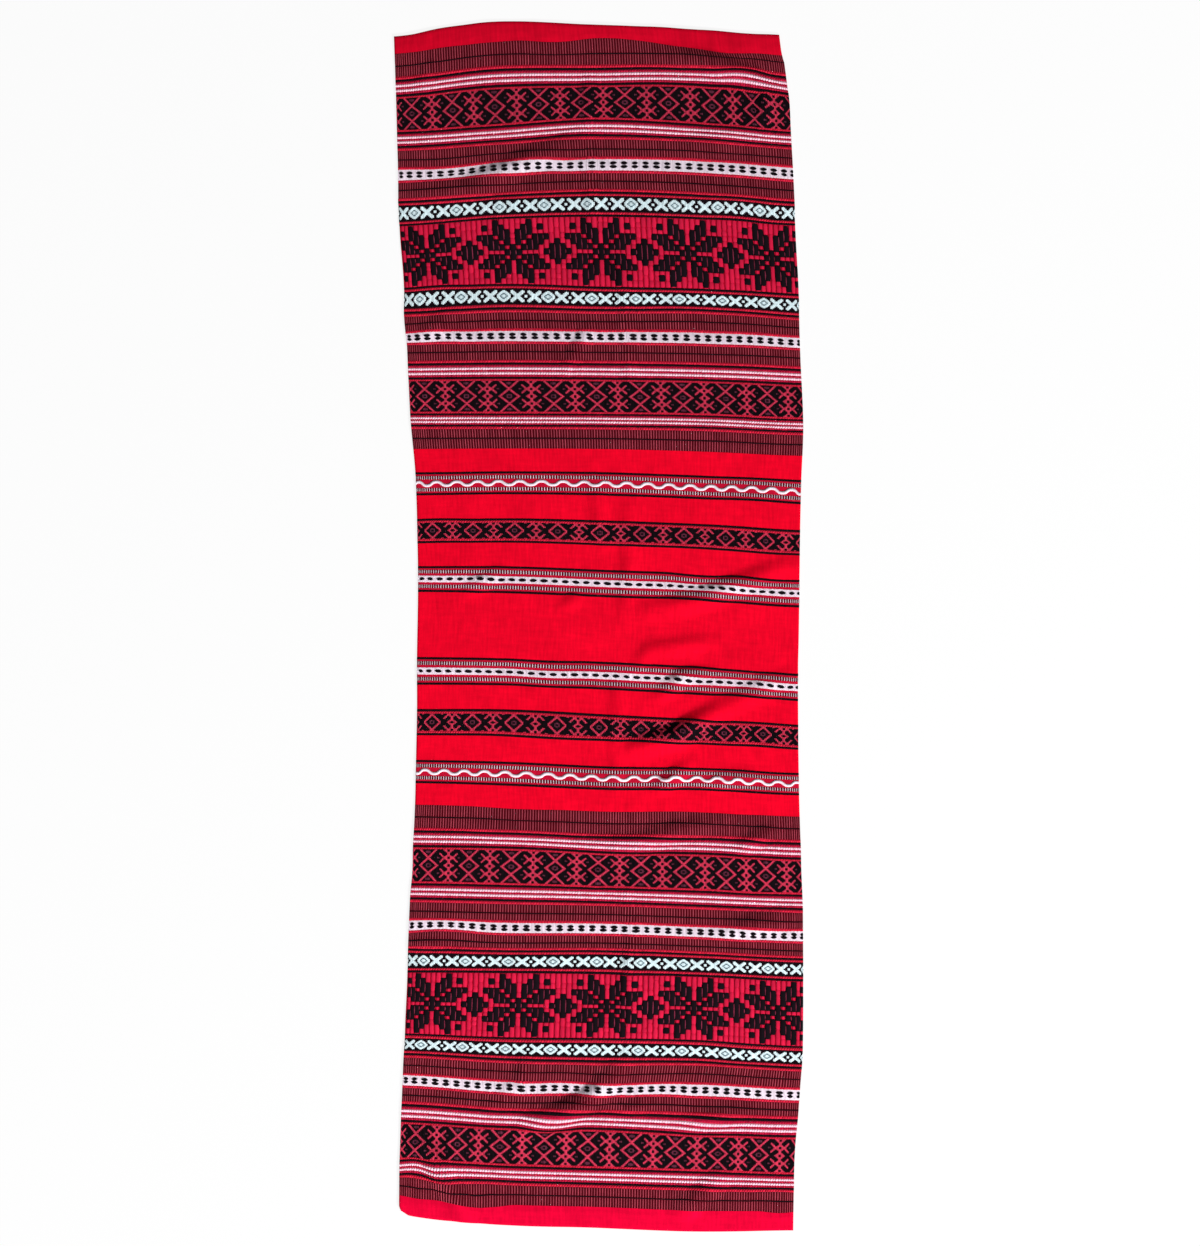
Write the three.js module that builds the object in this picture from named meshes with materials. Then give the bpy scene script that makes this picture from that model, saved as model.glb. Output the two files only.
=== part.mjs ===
// Handwoven table runner, laid out on a flat surface: one sheet of cloth from hem to hem.
// Millimetres, +Z up. The cloth's length runs along Y and its width along X.
// The origin is on the surface it lies on, at the middle of the cloth's outline.
import * as THREE from 'three';
import { mergeVertices } from 'three/addons/utils/BufferGeometryUtils.js';

// Driving dimensions
const CLOTH_LENGTH = 1203; // hem to hem, along the middle of the cloth
const CLOTH_THICKNESS = 2;
const TOP_HEM_ALONG = 602; // Y of the upper hem at the middle of the cloth
const CELLS_ACROSS = 26;
const CELLS_ALONG = 84;
const SETTLE = 0.4; // the lowest part of each swell lies flat on the surface
const RIDGE_END_SHARE = 0.35; // how high a ridge still is at its two ends
const CLOTH_RED = 0xd2112f;

// How the cloth lies, one row for each place along its length.
// along: Y of that crosswise row where it crosses the middle of the cloth.
// left, right: X of the two selvedges there.
// The other columns say how much lower (towards -Y) the same crosswise row lies
// at the left selvedge, a quarter in, three quarters in, and at the right selvedge.
const STATIONS = [
  { along: 602, left: -204, right: 180, lowL: 12, lowQ: -2.5, lowR: 5, lowRR: 14 },
  { along: 588, left: -203.5, right: 183, lowL: 15, lowQ: 3.5, lowR: 9, lowRR: 15.5 },
  { along: 574, left: -203, right: 185, lowL: 13, lowQ: 1.5, lowR: 1.5, lowRR: 10.5 },
  { along: 542, left: -202, right: 190, lowL: 11.5, lowQ: 2, lowR: 0, lowRR: 12 },
  { along: 506, left: -201, right: 192, lowL: 12.5, lowQ: 6.5, lowR: 4, lowRR: 13 },
  { along: 468, left: -200, right: 194, lowL: 10.5, lowQ: 4, lowR: 1.5, lowRR: 9.5 },
  { along: 432, left: -199.5, right: 195.5, lowL: 9.5, lowQ: 3.5, lowR: 3, lowRR: 10.5 },
  { along: 410, left: -198.5, right: 196, lowL: 9.5, lowQ: 2.5, lowR: 2.5, lowRR: 9 },
  { along: 339, left: -194, right: 199.5, lowL: 1, lowQ: -3, lowR: 2, lowRR: 7.5 },
  { along: 314, left: -194, right: 200, lowL: 3, lowQ: -1.5, lowR: 0, lowRR: 7 },
  { along: 281, left: -191, right: 201, lowL: 0.5, lowQ: -1, lowR: 1.5, lowRR: 6 },
  { along: 206, left: -187.5, right: 204, lowL: -0.5, lowQ: -0.5, lowR: 1.5, lowRR: 5.5 },
  { along: 152, left: -182.5, right: 202, lowL: 0, lowQ: -1, lowR: 3.5, lowRR: 8 },
  { along: 82, left: -180.5, right: 200.5, lowL: -2, lowQ: -3, lowR: 3.5, lowRR: 10 },
  { along: 30, left: -180, right: 200, lowL: -5.5, lowQ: -4, lowR: 3.5, lowRR: 10 },
  { along: -37, left: -181, right: 199, lowL: -5, lowQ: -3.5, lowR: 5, lowRR: 12 },
  { along: -89, left: -181, right: 199, lowL: -5.5, lowQ: -5, lowR: 5, lowRR: 10.5 },
  { along: -140, left: -182, right: 199.5, lowL: -6.5, lowQ: -4.5, lowR: 1.5, lowRR: 6.5 },
  { along: -186, left: -183, right: 200.5, lowL: -7, lowQ: -4, lowR: 0, lowRR: 5 },
  { along: -225, left: -185, right: 202, lowL: -6, lowQ: -4.5, lowR: 1.5, lowRR: 6.5 },
  { along: -275, left: -188, right: 203.5, lowL: -4, lowQ: -2, lowR: 3.5, lowRR: 7 },
  { along: -328, left: -190, right: 204, lowL: -2, lowQ: 0, lowR: 3.5, lowRR: 8 },
  { along: -346, left: -190.5, right: 204, lowL: -1.5, lowQ: -1, lowR: 3, lowRR: 7.5 },
  { along: -417, left: -193.5, right: 203.5, lowL: -5, lowQ: -1, lowR: 2, lowRR: 8 },
  { along: -464, left: -195.5, right: 201, lowL: -11, lowQ: -4, lowR: -1, lowRR: 4 },
  { along: -500, left: -197, right: 197.5, lowL: -8, lowQ: -2, lowR: 6, lowRR: 7.5 },
  { along: -544, left: -198.5, right: 195, lowL: -9, lowQ: -3, lowR: 3, lowRR: 6 },
  { along: -601, left: -199, right: 194, lowL: -17, lowQ: -3, lowR: 4, lowRR: 3 },
];

// The soft ridges where the cloth stands off the surface. Each follows the points [X, Y],
// is width wide from foot to foot, and is highest at mid-length.
const RIDGES = [
  // long fold, upper left
  { width: 50, rise: 6,
    points: [[-190, 432], [-118, 440], [-70, 458], [-23, 481], [8, 512]] },
  // tuck, upper right corner
  { width: 46, rise: 5.5,
    points: [[44, 582], [102, 572], [150, 552], [194, 520]] },
  // corner, upper left
  { width: 30, rise: 3, points: [[-180, 530], [-164, 566]] },
  // swell, upper right
  { width: 50, rise: 3, points: [[76, 474], [152, 490]] },
  // storage fold, upper
  { width: 30, rise: 3.5,
    points: [[-8, 446], [8, 411], [22, 366], [24, 250], [24, 186]] },
  // storage fold, middle
  { width: 30, rise: 3,
    points: [[26, 120], [26, 66], [22, -64], [20, -164]] },
  // storage fold, lower
  { width: 30, rise: 3.5,
    points: [[20, -200], [24, -260], [30, -320], [36, -392]] },
  // short crease, left of the fold
  { width: 32, rise: 3, points: [[-38, 250], [-8, 300]] },
  // nick, left selvedge
  { width: 32, rise: 3, points: [[-176, 290], [-140, 314]] },
  // short crease, mid left
  { width: 30, rise: 2.5, points: [[-134, 42], [-98, 62]] },
  // long crease, mid right
  { width: 38, rise: 4.5,
    points: [[46, 18], [102, 30], [147, 48], [196, 64]] },
  // crease below the middle
  { width: 32, rise: 2.5, points: [[38, -38], [120, -18]] },
  // second crease below the middle
  { width: 30, rise: 3.5,
    points: [[66, -66], [92, -50], [166, -40]] },
  // strong crease, lower right
  { width: 40, rise: 5.5,
    points: [[52, -130], [108, -107], [150, -88], [184, -70]] },
  // twin crease, first
  { width: 28, rise: 4, points: [[62, -168], [94, -142]] },
  // twin crease, second
  { width: 28, rise: 2.5, points: [[108, -156], [160, -149]] },
  // long crease, lower middle
  { width: 32, rise: 4.5,
    points: [[-16, -222], [43, -217], [82, -204], [126, -197]] },
  // nick, right selvedge
  { width: 30, rise: 3.5, points: [[144, -226], [182, -202]] },
  // crease into the right selvedge
  { width: 34, rise: 4.5,
    points: [[122, -308], [200, -289]] },
  // crease into the left selvedge
  { width: 28, rise: 3.5,
    points: [[-188, -318], [-154, -314]] },
  // short crease, lower left
  { width: 30, rise: 3, points: [[-114, -487], [-68, -451]] },
  // long crease, lower left
  { width: 38, rise: 5.5,
    points: [[-68, -498], [-1, -471], [30, -438]] },
  // short crease, lower right
  { width: 30, rise: 3, points: [[84, -492], [142, -482]] },
  // turned corner, lower left
  { width: 38, rise: 6,
    points: [[-186, -518], [-156, -538], [-132, -558], [-114, -584]] },
  // lift at the lower hem, right
  { width: 38, rise: 4, points: [[82, -588], [130, -546]] },
];

// A curve through evenly spread values: smooth between its neighbours, exact at each.
function smoothBetween(before, from, to, after, t) {
  const slopeFrom = (to - before) / 2;
  const slopeTo = (after - from) / 2;
  const t2 = t * t;
  const t3 = t2 * t;
  return (2 * t3 - 3 * t2 + 1) * from + (t3 - 2 * t2 + t) * slopeFrom
    + (3 * t2 - 2 * t3) * to + (t3 - t2) * slopeTo;
}

function smoothThrough(values, position) {
  const last = values.length - 1;
  const i = Math.min(Math.floor(position), last - 1);
  const before = values[Math.max(i - 1, 0)];
  const after = values[Math.min(i + 2, last)];
  return smoothBetween(before, values[i], values[i + 1], after, position - i);
}

// Where along the station table a place on the cloth is, as a row number with a fraction.
function stationPosition(along) {
  const last = STATIONS.length - 1;
  let i = 0;
  while (i < last - 1 && along < STATIONS[i + 1].along) i += 1;
  const upper = STATIONS[i].along;
  const lower = STATIONS[i + 1].along;
  return i + THREE.MathUtils.clamp((upper - along) / (upper - lower), 0, 1);
}

function stationColumn(name, position) {
  return smoothThrough(STATIONS.map((row) => row[name]), position);
}

// Distance from a point to a ridge's path, and how far along the path the nearest point is.
function nearestOnPath(points, x, y) {
  const lengths = points.slice(1).map((p, i) => Math.hypot(p[0] - points[i][0], p[1] - points[i][1]));
  const total = lengths.reduce((sum, length) => sum + length, 0);
  let best = { distance: Infinity, share: 0 };
  let travelled = 0;
  lengths.forEach((length, i) => {
    const [ax, ay] = points[i];
    const dx = (points[i + 1][0] - ax) / length;
    const dy = (points[i + 1][1] - ay) / length;
    const reach = THREE.MathUtils.clamp((x - ax) * dx + (y - ay) * dy, 0, length);
    const distance = Math.hypot(x - ax - reach * dx, y - ay - reach * dy);
    if (distance < best.distance) best = { distance, share: (travelled + reach) / total };
    travelled += length;
  });
  return best;
}

// A ridge is a rounded hump across, and fades out towards both ends of its path.
function ridgeHeight({ points, width, rise }, x, y) {
  const { distance, share } = nearestOnPath(points, x, y);
  const across = Math.min(distance / (width / 2), 1);
  const hump = (1 + Math.cos(Math.PI * across)) / 2;
  const fade = RIDGE_END_SHARE + (1 - RIDGE_END_SHARE) * Math.sin(Math.PI * share);
  return rise * hump * fade;
}

// Overlapping ridges merge into the higher one, so the cloth never piles up.
function liftAt(x, y) {
  const heights = RIDGES.map((ridge) => ridgeHeight(ridge, x, y));
  return Math.max(0, Math.max(...heights) - SETTLE);
}

// Puts a place on the flat cloth, given as shares of its width and length, where it lies.
function layOut(shareAcross, shareAlong) {
  const along = TOP_HEM_ALONG - shareAlong * CLOTH_LENGTH;
  const position = stationPosition(along);
  const here = (name) => stationColumn(name, position);
  const left = here('left');
  const right = here('right');
  const lows = [here('lowL'), here('lowQ'), 0, here('lowR'), here('lowRR')];
  const low = smoothThrough(lows, shareAcross * (lows.length - 1));
  const x = left + shareAcross * (right - left);
  const y = along - low;
  return [x, y, liftAt(x, y)];
}

// The cloth as a closed sheet: a grid for the underside, the same grid raised by the cloth's
// thickness for the face, and a strip all round that joins their edges.
function clothGeometry() {
  const columns = CELLS_ACROSS + 1;
  const rows = CELLS_ALONG + 1;
  const under = [];
  for (let j = 0; j < rows; j += 1) {
    for (let i = 0; i < columns; i += 1) under.push(layOut(i / CELLS_ACROSS, j / CELLS_ALONG));
  }
  const face = under.map(([x, y, z]) => [x, y, z + CLOTH_THICKNESS]);
  const faceStart = under.length;
  const triangles = [];
  const quad = (a, b, c, d) => triangles.push(a, b, c, a, c, d);

  for (let j = 0; j < CELLS_ALONG; j += 1) {
    for (let i = 0; i < CELLS_ACROSS; i += 1) {
      const near = j * columns + i;
      const far = near + columns;
      quad(near, near + 1, far + 1, far);
      quad(faceStart + near, faceStart + far, faceStart + far + 1, faceStart + near + 1);
    }
  }

  const rim = [];
  for (let i = 0; i < CELLS_ACROSS; i += 1) rim.push(i);
  for (let j = 0; j < CELLS_ALONG; j += 1) rim.push(j * columns + CELLS_ACROSS);
  for (let i = CELLS_ACROSS; i > 0; i -= 1) rim.push(CELLS_ALONG * columns + i);
  for (let j = CELLS_ALONG; j > 0; j -= 1) rim.push(j * columns);
  rim.forEach((here, k) => {
    const next = rim[(k + 1) % rim.length];
    quad(here, faceStart + here, faceStart + next, next);
  });

  const geometry = new THREE.BufferGeometry();
  geometry.setAttribute('position', new THREE.Float32BufferAttribute([...under, ...face].flat(), 3));
  geometry.setIndex(triangles);
  return mergeVertices(geometry);
}

function makeRunner() {
  const material = new THREE.MeshStandardMaterial({ color: CLOTH_RED, roughness: 0.9, metalness: 0 });
  const cloth = new THREE.Mesh(clothGeometry(), material);
  cloth.name = 'runner';
  return cloth;
}

const group = new THREE.Group();
group.add(makeRunner());
export default group;
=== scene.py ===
"""Handwoven red table runner, laid flat: a thin cloth on its creases, dressed yarn by yarn.

Every woven thing is first made in loom space, where the cloth is flat and square to its
threads: X runs across the cloth from its left selvedge, Y runs along it and is 0 at the upper
hem and negative below it, and Z stands off the face. lay_out() then puts it where the cloth
lies. Lengths in the tables are in millimetres, and everything else is in metres.
"""
import math
from typing import NamedTuple

import bpy
import numpy as np
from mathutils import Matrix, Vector


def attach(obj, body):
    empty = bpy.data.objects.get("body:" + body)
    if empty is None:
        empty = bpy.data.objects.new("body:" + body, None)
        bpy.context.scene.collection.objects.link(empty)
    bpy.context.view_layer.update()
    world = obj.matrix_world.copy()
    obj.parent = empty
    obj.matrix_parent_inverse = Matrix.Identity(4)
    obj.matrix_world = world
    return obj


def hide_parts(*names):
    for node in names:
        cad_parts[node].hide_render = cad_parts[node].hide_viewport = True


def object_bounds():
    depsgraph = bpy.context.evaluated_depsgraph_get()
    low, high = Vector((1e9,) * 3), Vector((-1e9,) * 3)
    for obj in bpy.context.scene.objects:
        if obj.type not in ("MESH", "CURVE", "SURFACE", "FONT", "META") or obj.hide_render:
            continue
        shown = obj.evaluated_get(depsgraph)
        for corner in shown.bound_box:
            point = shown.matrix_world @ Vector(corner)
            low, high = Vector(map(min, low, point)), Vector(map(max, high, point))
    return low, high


bl_info = {
    "name": "Handwoven Table Runner",
    "version": (1, 0, 0),
    "blender": (4, 5, 0),
    "location": "3D View > Sidebar > Runner",
    "description": "Builds a handwoven table runner, yarn by yarn, on its creased sheet",
    "category": "Add Mesh",
}

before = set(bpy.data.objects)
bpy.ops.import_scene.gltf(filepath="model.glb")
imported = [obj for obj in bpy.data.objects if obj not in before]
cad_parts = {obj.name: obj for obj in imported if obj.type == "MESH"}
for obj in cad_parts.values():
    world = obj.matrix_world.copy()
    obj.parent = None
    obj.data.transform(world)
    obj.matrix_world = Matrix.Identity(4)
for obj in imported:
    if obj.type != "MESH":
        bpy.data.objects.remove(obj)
CAD_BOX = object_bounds()

MM = 0.001
BODY = "root"
CLOTH_NODE = "runner"

# ------------------------------------------------------------------ how the cloth lies

CLOTH_LENGTH = 1203
TOP_HEM_ALONG = 602  # how far the upper hem's edge lies from the middle of the outline
SETTLE = 0.4  # so much of each crease's foot sinks back flat
RIDGE_END_SHARE = 0.35  # a crease's height at its two ends, as a share of its middle's

# The same rows as the solid sheet's: where each crosswise row crosses the middle (along), its
# two selvedges, and how much lower it lies at the left selvedge, a quarter in, three quarters
# in and at the right selvedge.
STATIONS = (
    # along, left, right, lowL, lowQ, lowR, lowRR
    (602, -204, 180, 12, -2.5, 5, 14),
    (588, -203.5, 183, 15, 3.5, 9, 15.5),
    (574, -203, 185, 13, 1.5, 1.5, 10.5),
    (542, -202, 190, 11.5, 2, 0, 12),
    (506, -201, 192, 12.5, 6.5, 4, 13),
    (468, -200, 194, 10.5, 4, 1.5, 9.5),
    (432, -199.5, 195.5, 9.5, 3.5, 3, 10.5),
    (410, -198.5, 196, 9.5, 2.5, 2.5, 9),
    (339, -194, 199.5, 1, -3, 2, 7.5),
    (314, -194, 200, 3, -1.5, 0, 7),
    (281, -191, 201, 0.5, -1, 1.5, 6),
    (206, -187.5, 204, -0.5, -0.5, 1.5, 5.5),
    (152, -182.5, 202, 0, -1, 3.5, 8),
    (82, -180.5, 200.5, -2, -3, 3.5, 10),
    (30, -180, 200, -5.5, -4, 3.5, 10),
    (-37, -181, 199, -5, -3.5, 5, 12),
    (-89, -181, 199, -5.5, -5, 5, 10.5),
    (-140, -182, 199.5, -6.5, -4.5, 1.5, 6.5),
    (-186, -183, 200.5, -7, -4, 0, 5),
    (-225, -185, 202, -6, -4.5, 1.5, 6.5),
    (-275, -188, 203.5, -4, -2, 3.5, 7),
    (-328, -190, 204, -2, 0, 3.5, 8),
    (-346, -190.5, 204, -1.5, -1, 3, 7.5),
    (-417, -193.5, 203.5, -5, -1, 2, 8),
    (-464, -195.5, 201, -11, -4, -1, 4),
    (-500, -197, 197.5, -8, -2, 6, 7.5),
    (-544, -198.5, 195, -9, -3, 3, 6),
    (-601, -199, 194, -17, -3, 4, 3),
)


class Crease(NamedTuple):
    """A soft ridge: how wide it is from foot to foot, how high, and the points it follows."""

    width: float
    rise: float
    points: tuple


RIDGES = (
    # long folds that cross the cloth askew
    Crease(38, 6.5, ((-190, 430), (-130, 437), (-96, 451), (-70, 465), (-38, 477), (-8, 491))),
    Crease(34, 6, ((60, 572), (106, 565), (154, 547), (196, 512))),
    Crease(34, 5.5, ((46, 14), (102, 26), (147, 44), (196, 62))),
    Crease(34, 9, ((26, -124), (50, -119), (80, -110), (106, -93), (130, -79))),
    Crease(34, 4.5, ((104, -94), (169, -60), (194, -48))),
    Crease(32, 6, ((-16, -222), (43, -217), (82, -204), (126, -197))),
    Crease(34, 8.5, ((-72, -500), (-38, -488), (-4, -471), (26, -436))),
    # where the cloth was once folded in half lengthwise
    Crease(22, 4, ((-8, 500), (-7, 460), (-5, 420), (-2, 388))),
    Crease(26, 5.5, ((-9, 545), (-8, 520), (-7, 496))),
    Crease(26, 4, ((20, 366), (28, 320), (31, 280), (33, 200))),
    Crease(24, 4.5, ((-4, 146), (6, 80))),
    Crease(26, 4, ((30, 120), (31, 66), (26, 0))),
    Crease(26, 3.5, ((21, -40), (19, -100), (18, -164))),
    Crease(24, 3.5, ((-8, -260), (8, -240))),
    Crease(26, 4.5, ((26, -260), (37, -305), (30, -366), (36, -396))),
    # shorter creases, from the upper hem to the lower one
    Crease(30, 3, ((-180, 530), (-164, 566))),
    Crease(26, 7.5, ((168, 542), (168, 498))),
    Crease(44, 4, ((76, 474), (152, 490))),
    Crease(26, 4.5, ((-34, 252), (-6, 300))),
    Crease(32, 3.5, ((-176, 290), (-140, 314))),
    Crease(26, 4, ((-131, 35), (-95, 55))),
    Crease(24, 4, ((-34, 20), (-18, 30))),
    Crease(28, 4, ((34, -46), (52, -24), (120, -14))),
    Crease(26, 5.5, ((60, -71), (86, -51), (112, -46))),
    Crease(26, 5, ((58, -165), (90, -139))),
    Crease(28, 3, ((108, -156), (160, -149))),
    Crease(28, 2.8, ((-130, -196), (-104, -203), (-60, -208))),
    Crease(28, 5.5, ((138, -226), (178, -202))),
    Crease(34, 5.5, ((122, -308), (200, -289))),
    Crease(28, 4, ((-188, -318), (-154, -314))),
    Crease(24, 5, ((-73, -434), (-79, -474))),
    Crease(30, 3.5, ((-114, -487), (-68, -451))),
    Crease(24, 3.5, ((20, -484), (52, -476))),
    Crease(28, 4.5, ((84, -498), (112, -494), (146, -486))),
    # the two lower corners
    Crease(32, 10, ((-180, -512), (-165, -533), (-151, -556), (-139, -576), (-130, -594))),
    Crease(34, 5.5, ((82, -588), (130, -546))),
)

# The cloth between the creases is never quite flat: a few slow waves cross it. Each has its
# wavelength, its direction in degrees, its height and its phase.
WAVES = ((61, 24, 0.16, 0.3), (83, 101, 0.18, 1.9), (37, 66, 0.09, 4.1), (29, 152, 0.07, 2.6))


class Pull(NamedTuple):
    """A place where handling has drawn the cloth up and to the right, and how far that reaches."""

    across: float
    along: float
    reach_across: float
    reach_along: float
    up: float
    right: float = 0.0


PULLS = tuple(Pull(*row) for row in (
    # the upper hem and the ribs below it
    (145, 602, 70, 18, 2.0), (120, 590, 44, 12, 1.6), (66, 590, 36, 14, 1.8),
    (190, 573, 36, 14, -2.6), (116, 557, 34, 20, 1.1), (140, 579, 58, 16, -3.2),
    (135, 546, 40, 16, 1.6), (172, 586, 50, 14, 4.2), (148, 550, 32, 30, 1.6),
    (165, 545, 56, 46, 3.4), (-130, 534, 70, 26, 0, -1), (165, 534, 40, 28, 0, -2),
    (30, 587, 52, 17, 2.2), (-42, 584, 40, 18, -3.6), (-158, 590, 30, 24, 1.6),
    (10, 522, 215, 62, 0, -3.1),
    # the upper lattice and the dashes
    (60, 462, 180, 45, 0, -1.7), (165, 470, 64, 90, 1.5), (20, 440, 120, 26, 0, -0.8),
    (140, 414, 40, 26, 1.3), (-150, 461, 50, 22, -1.7), (-60, 462, 32, 18, 1.5),
    # the upper star band and the bands below it
    (-85, 366, 55, 30, -1.7), (-40, 335, 160, 50, 0, -1.1), (-160, 338, 35, 25, 1.2),
    (165, 300, 55, 90, 1.2), (-160, 292, 36, 18, 1.4), (60, 245, 130, 40, 0, -0.8),
    # the plain middle
    (160, 128, 55, 45, 1.4), (-160, 100, 40, 30, 1.1), (105, 54, 40, 26, -1.8),
    (-48, -45, 42, 40, -1.1), (100, -50, 130, 40, 0, -1.5), (160, -80, 55, 50, 1.5),
    (-100, -42, 90, 20, 0, -1.2), (165, -112, 38, 20, 1.4, -1.4), (-50, -112, 60, 18, -1),
    # from the middle to the lower star band's end
    (-80, -150, 90, 26, 0, -1.4), (-80, -186, 50, 14, -1.4), (125, -186, 50, 14, -1.2),
    (-165, -246, 50, 26, 0, 1.2), (175, -246, 40, 26, 0, -1.2), (150, -258, 40, 18, -1),
    (-155, -306, 45, 20, 1.7), (38, -366, 34, 30, -1.1), (-140, -306, 50, 16, 1),
    (-10, -366, 110, 26, -0.9), (-165, -415, 40, 26, 0, 1.2), (140, -428, 40, 18, -1),
    # the last lattice and its ropes
    (100, -463, 130, 36, 0, -2.2), (-35, -462, 34, 30, 1.8), (65, -470, 34, 24, 1.5),
    (-48, -497, 36, 16, -2.2), (90, -500, 100, 34, 1.1), (-10, -522, 200, 44, 0, -1.3),
    (-150, -462, 60, 30, 0, 1), (165, -462, 50, 30, 0, -1), (15, -472, 60, 22, 1.5),
    (-45, -498, 40, 14, -1.4), (115, -498, 36, 14, -1.2), (165, -522, 60, 40, 0, -1.4),
    # the lower corners and hem
    (-160, -546, 36, 16, -1.3), (-186, -540, 30, 18, -1.2), (-162, -563, 20, 16, 1.6),
    (-128, -571, 24, 13, -2), (-194, -577, 36, 13, -2.8), (-152, -579, 18, 11, 1.6),
    (-116, -583, 26, 11, -1.5), (150, -594, 50, 12, -1), (178, -570, 30, 14, 1),
    (60, -594, 150, 14, -1), (140, -524, 50, 26, 1.2), (-165, -570, 60, 34, -5.2),
    (-112, -580, 32, 22, -3.6), (-165, -602, 52, 28, -3), (182, -584, 24, 18, -2.2),
    (-182, -545, 22, 24, 3), (-204, -592, 16, 14, 5, 3),
))

# How far to the right the upright yarns have crept, at places across the loom.
CREEP = ((0, 0), (20, 0.6), (50, 0.6), (90, -0.2), (115, 0), (145, 1), (190, 1.2), (250, 1.1),
         (300, 0.9), (325, 0.4), (352, -0.8), (380, -1.6), (398, 0.2), (406, 1.2))

LIFT_STEP = 2.0  # spacing of the grid on which the lift is worked out
LIFT_MARGIN = 12  # how far the grid goes past the outline
GRID_EDGE = 0.001  # keeps a place at the grid's far edge inside its last cell

# Near the selvedges the yarns crowd together: by how much, and how far in that is felt.
SELVEDGE_SQUEEZE = 8
SELVEDGE_REACH = 12


def smooth_between(before, start, end, after, t):
    """A curve through evenly spread values: smooth between its neighbours, exact at each."""
    slope_start = (end - before) / 2
    slope_end = (after - start) / 2
    t2 = t * t
    t3 = t2 * t
    return ((2 * t3 - 3 * t2 + 1) * start + (t3 - 2 * t2 + t) * slope_start
            + (3 * t2 - 2 * t3) * end + (t3 - t2) * slope_end)


def smooth_through(values, position):
    """Reads rows of values, one row for each knot, at a fractional knot number for each point."""
    last = len(values) - 1
    i = np.clip(np.floor(position).astype(int), 0, last - 1)
    point = np.arange(len(position))
    before, start, end, after = (values[np.clip(i + k, 0, last), point] for k in (-1, 0, 1, 2))
    return smooth_between(before, start, end, after, position - i)


def to_stroke(x, y, start, end):
    """Distance from each place to a straight stroke, and how far along the stroke that is."""
    (ax, ay), (bx, by) = start, end
    length = math.dist(start, end)
    dx, dy = (bx - ax) / length, (by - ay) / length
    reach = np.clip((x - ax) * dx + (y - ay) * dy, 0, length)
    return np.hypot(x - ax - reach * dx, y - ay - reach * dy), reach


def ridge_height(ridge, x, y):
    """A ridge is a rounded hump across, and fades out towards both ends of its path."""
    strokes = list(zip(ridge.points[:-1], ridge.points[1:]))
    whole = sum(math.dist(*stroke) for stroke in strokes)
    nearest = np.full(x.shape, np.inf)
    share = np.zeros(x.shape)
    travelled = 0.0
    for start, end in strokes:
        distance, reach = to_stroke(x, y, start, end)
        share = np.where(distance < nearest, (travelled + reach) / whole, share)
        nearest = np.minimum(distance, nearest)
        travelled += math.dist(start, end)
    hump = (1 + np.cos(np.pi * np.minimum(nearest / (ridge.width / 2), 1))) / 2
    return ridge.rise * hump * (RIDGE_END_SHARE + (1 - RIDGE_END_SHARE) * np.sin(np.pi * share))


def lift_grid():
    """The cloth's height over the surface, on a regular grid, in millimetres."""
    low, high = (np.array(corner)[:2] / MM for corner in CAD_BOX)
    xs = np.arange(low[0] - LIFT_MARGIN, high[0] + LIFT_MARGIN, LIFT_STEP)
    ys = np.arange(low[1] - LIFT_MARGIN, high[1] + LIFT_MARGIN, LIFT_STEP)
    x, y = np.meshgrid(xs, ys)
    ridges = np.max([ridge_height(ridge, x, y) for ridge in RIDGES], axis=0)
    lift = np.maximum(0, ridges - SETTLE)
    for wavelength, direction, height, phase in WAVES:
        turn = math.radians(direction)
        along = x * math.cos(turn) + y * math.sin(turn)
        lift += height * (1 + np.sin(2 * np.pi * along / wavelength + phase))
    slope_y, slope_x = np.gradient(lift, LIFT_STEP)
    return xs[0], ys[0], np.stack([lift, slope_x, slope_y])


LIFT_X, LIFT_Y, LIFT = lift_grid()


def lift_at(x, y):
    """Height and the two slopes of the cloth at each place, read between the grid's knots."""
    last_row, last_column = (count - 1 - GRID_EDGE for count in LIFT.shape[1:])
    column = np.clip((x - LIFT_X) / LIFT_STEP, 0, last_column)
    row = np.clip((y - LIFT_Y) / LIFT_STEP, 0, last_row)
    i, j = column.astype(int), row.astype(int)
    a, b = column - i, row - j
    return (LIFT[:, j, i] * (1 - a) * (1 - b) + LIFT[:, j, i + 1] * a * (1 - b)
            + LIFT[:, j + 1, i] * (1 - a) * b + LIFT[:, j + 1, i + 1] * a * b)


def share_across(across, loom_width):
    """How far across the real cloth a yarn lies, from 0 to 1, with the selvedges drawn in."""
    left = 1 - np.exp(-across / SELVEDGE_REACH)
    right = np.exp(-(loom_width - across) / SELVEDGE_REACH)
    return (across - SELVEDGE_SQUEEZE * (left + right)) / (loom_width - 2 * SELVEDGE_SQUEEZE)


def soft(t):
    """1 at the middle of something's reach, and nothing past its end."""
    return (1 - np.minimum(t * t, 1)) ** 2


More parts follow.
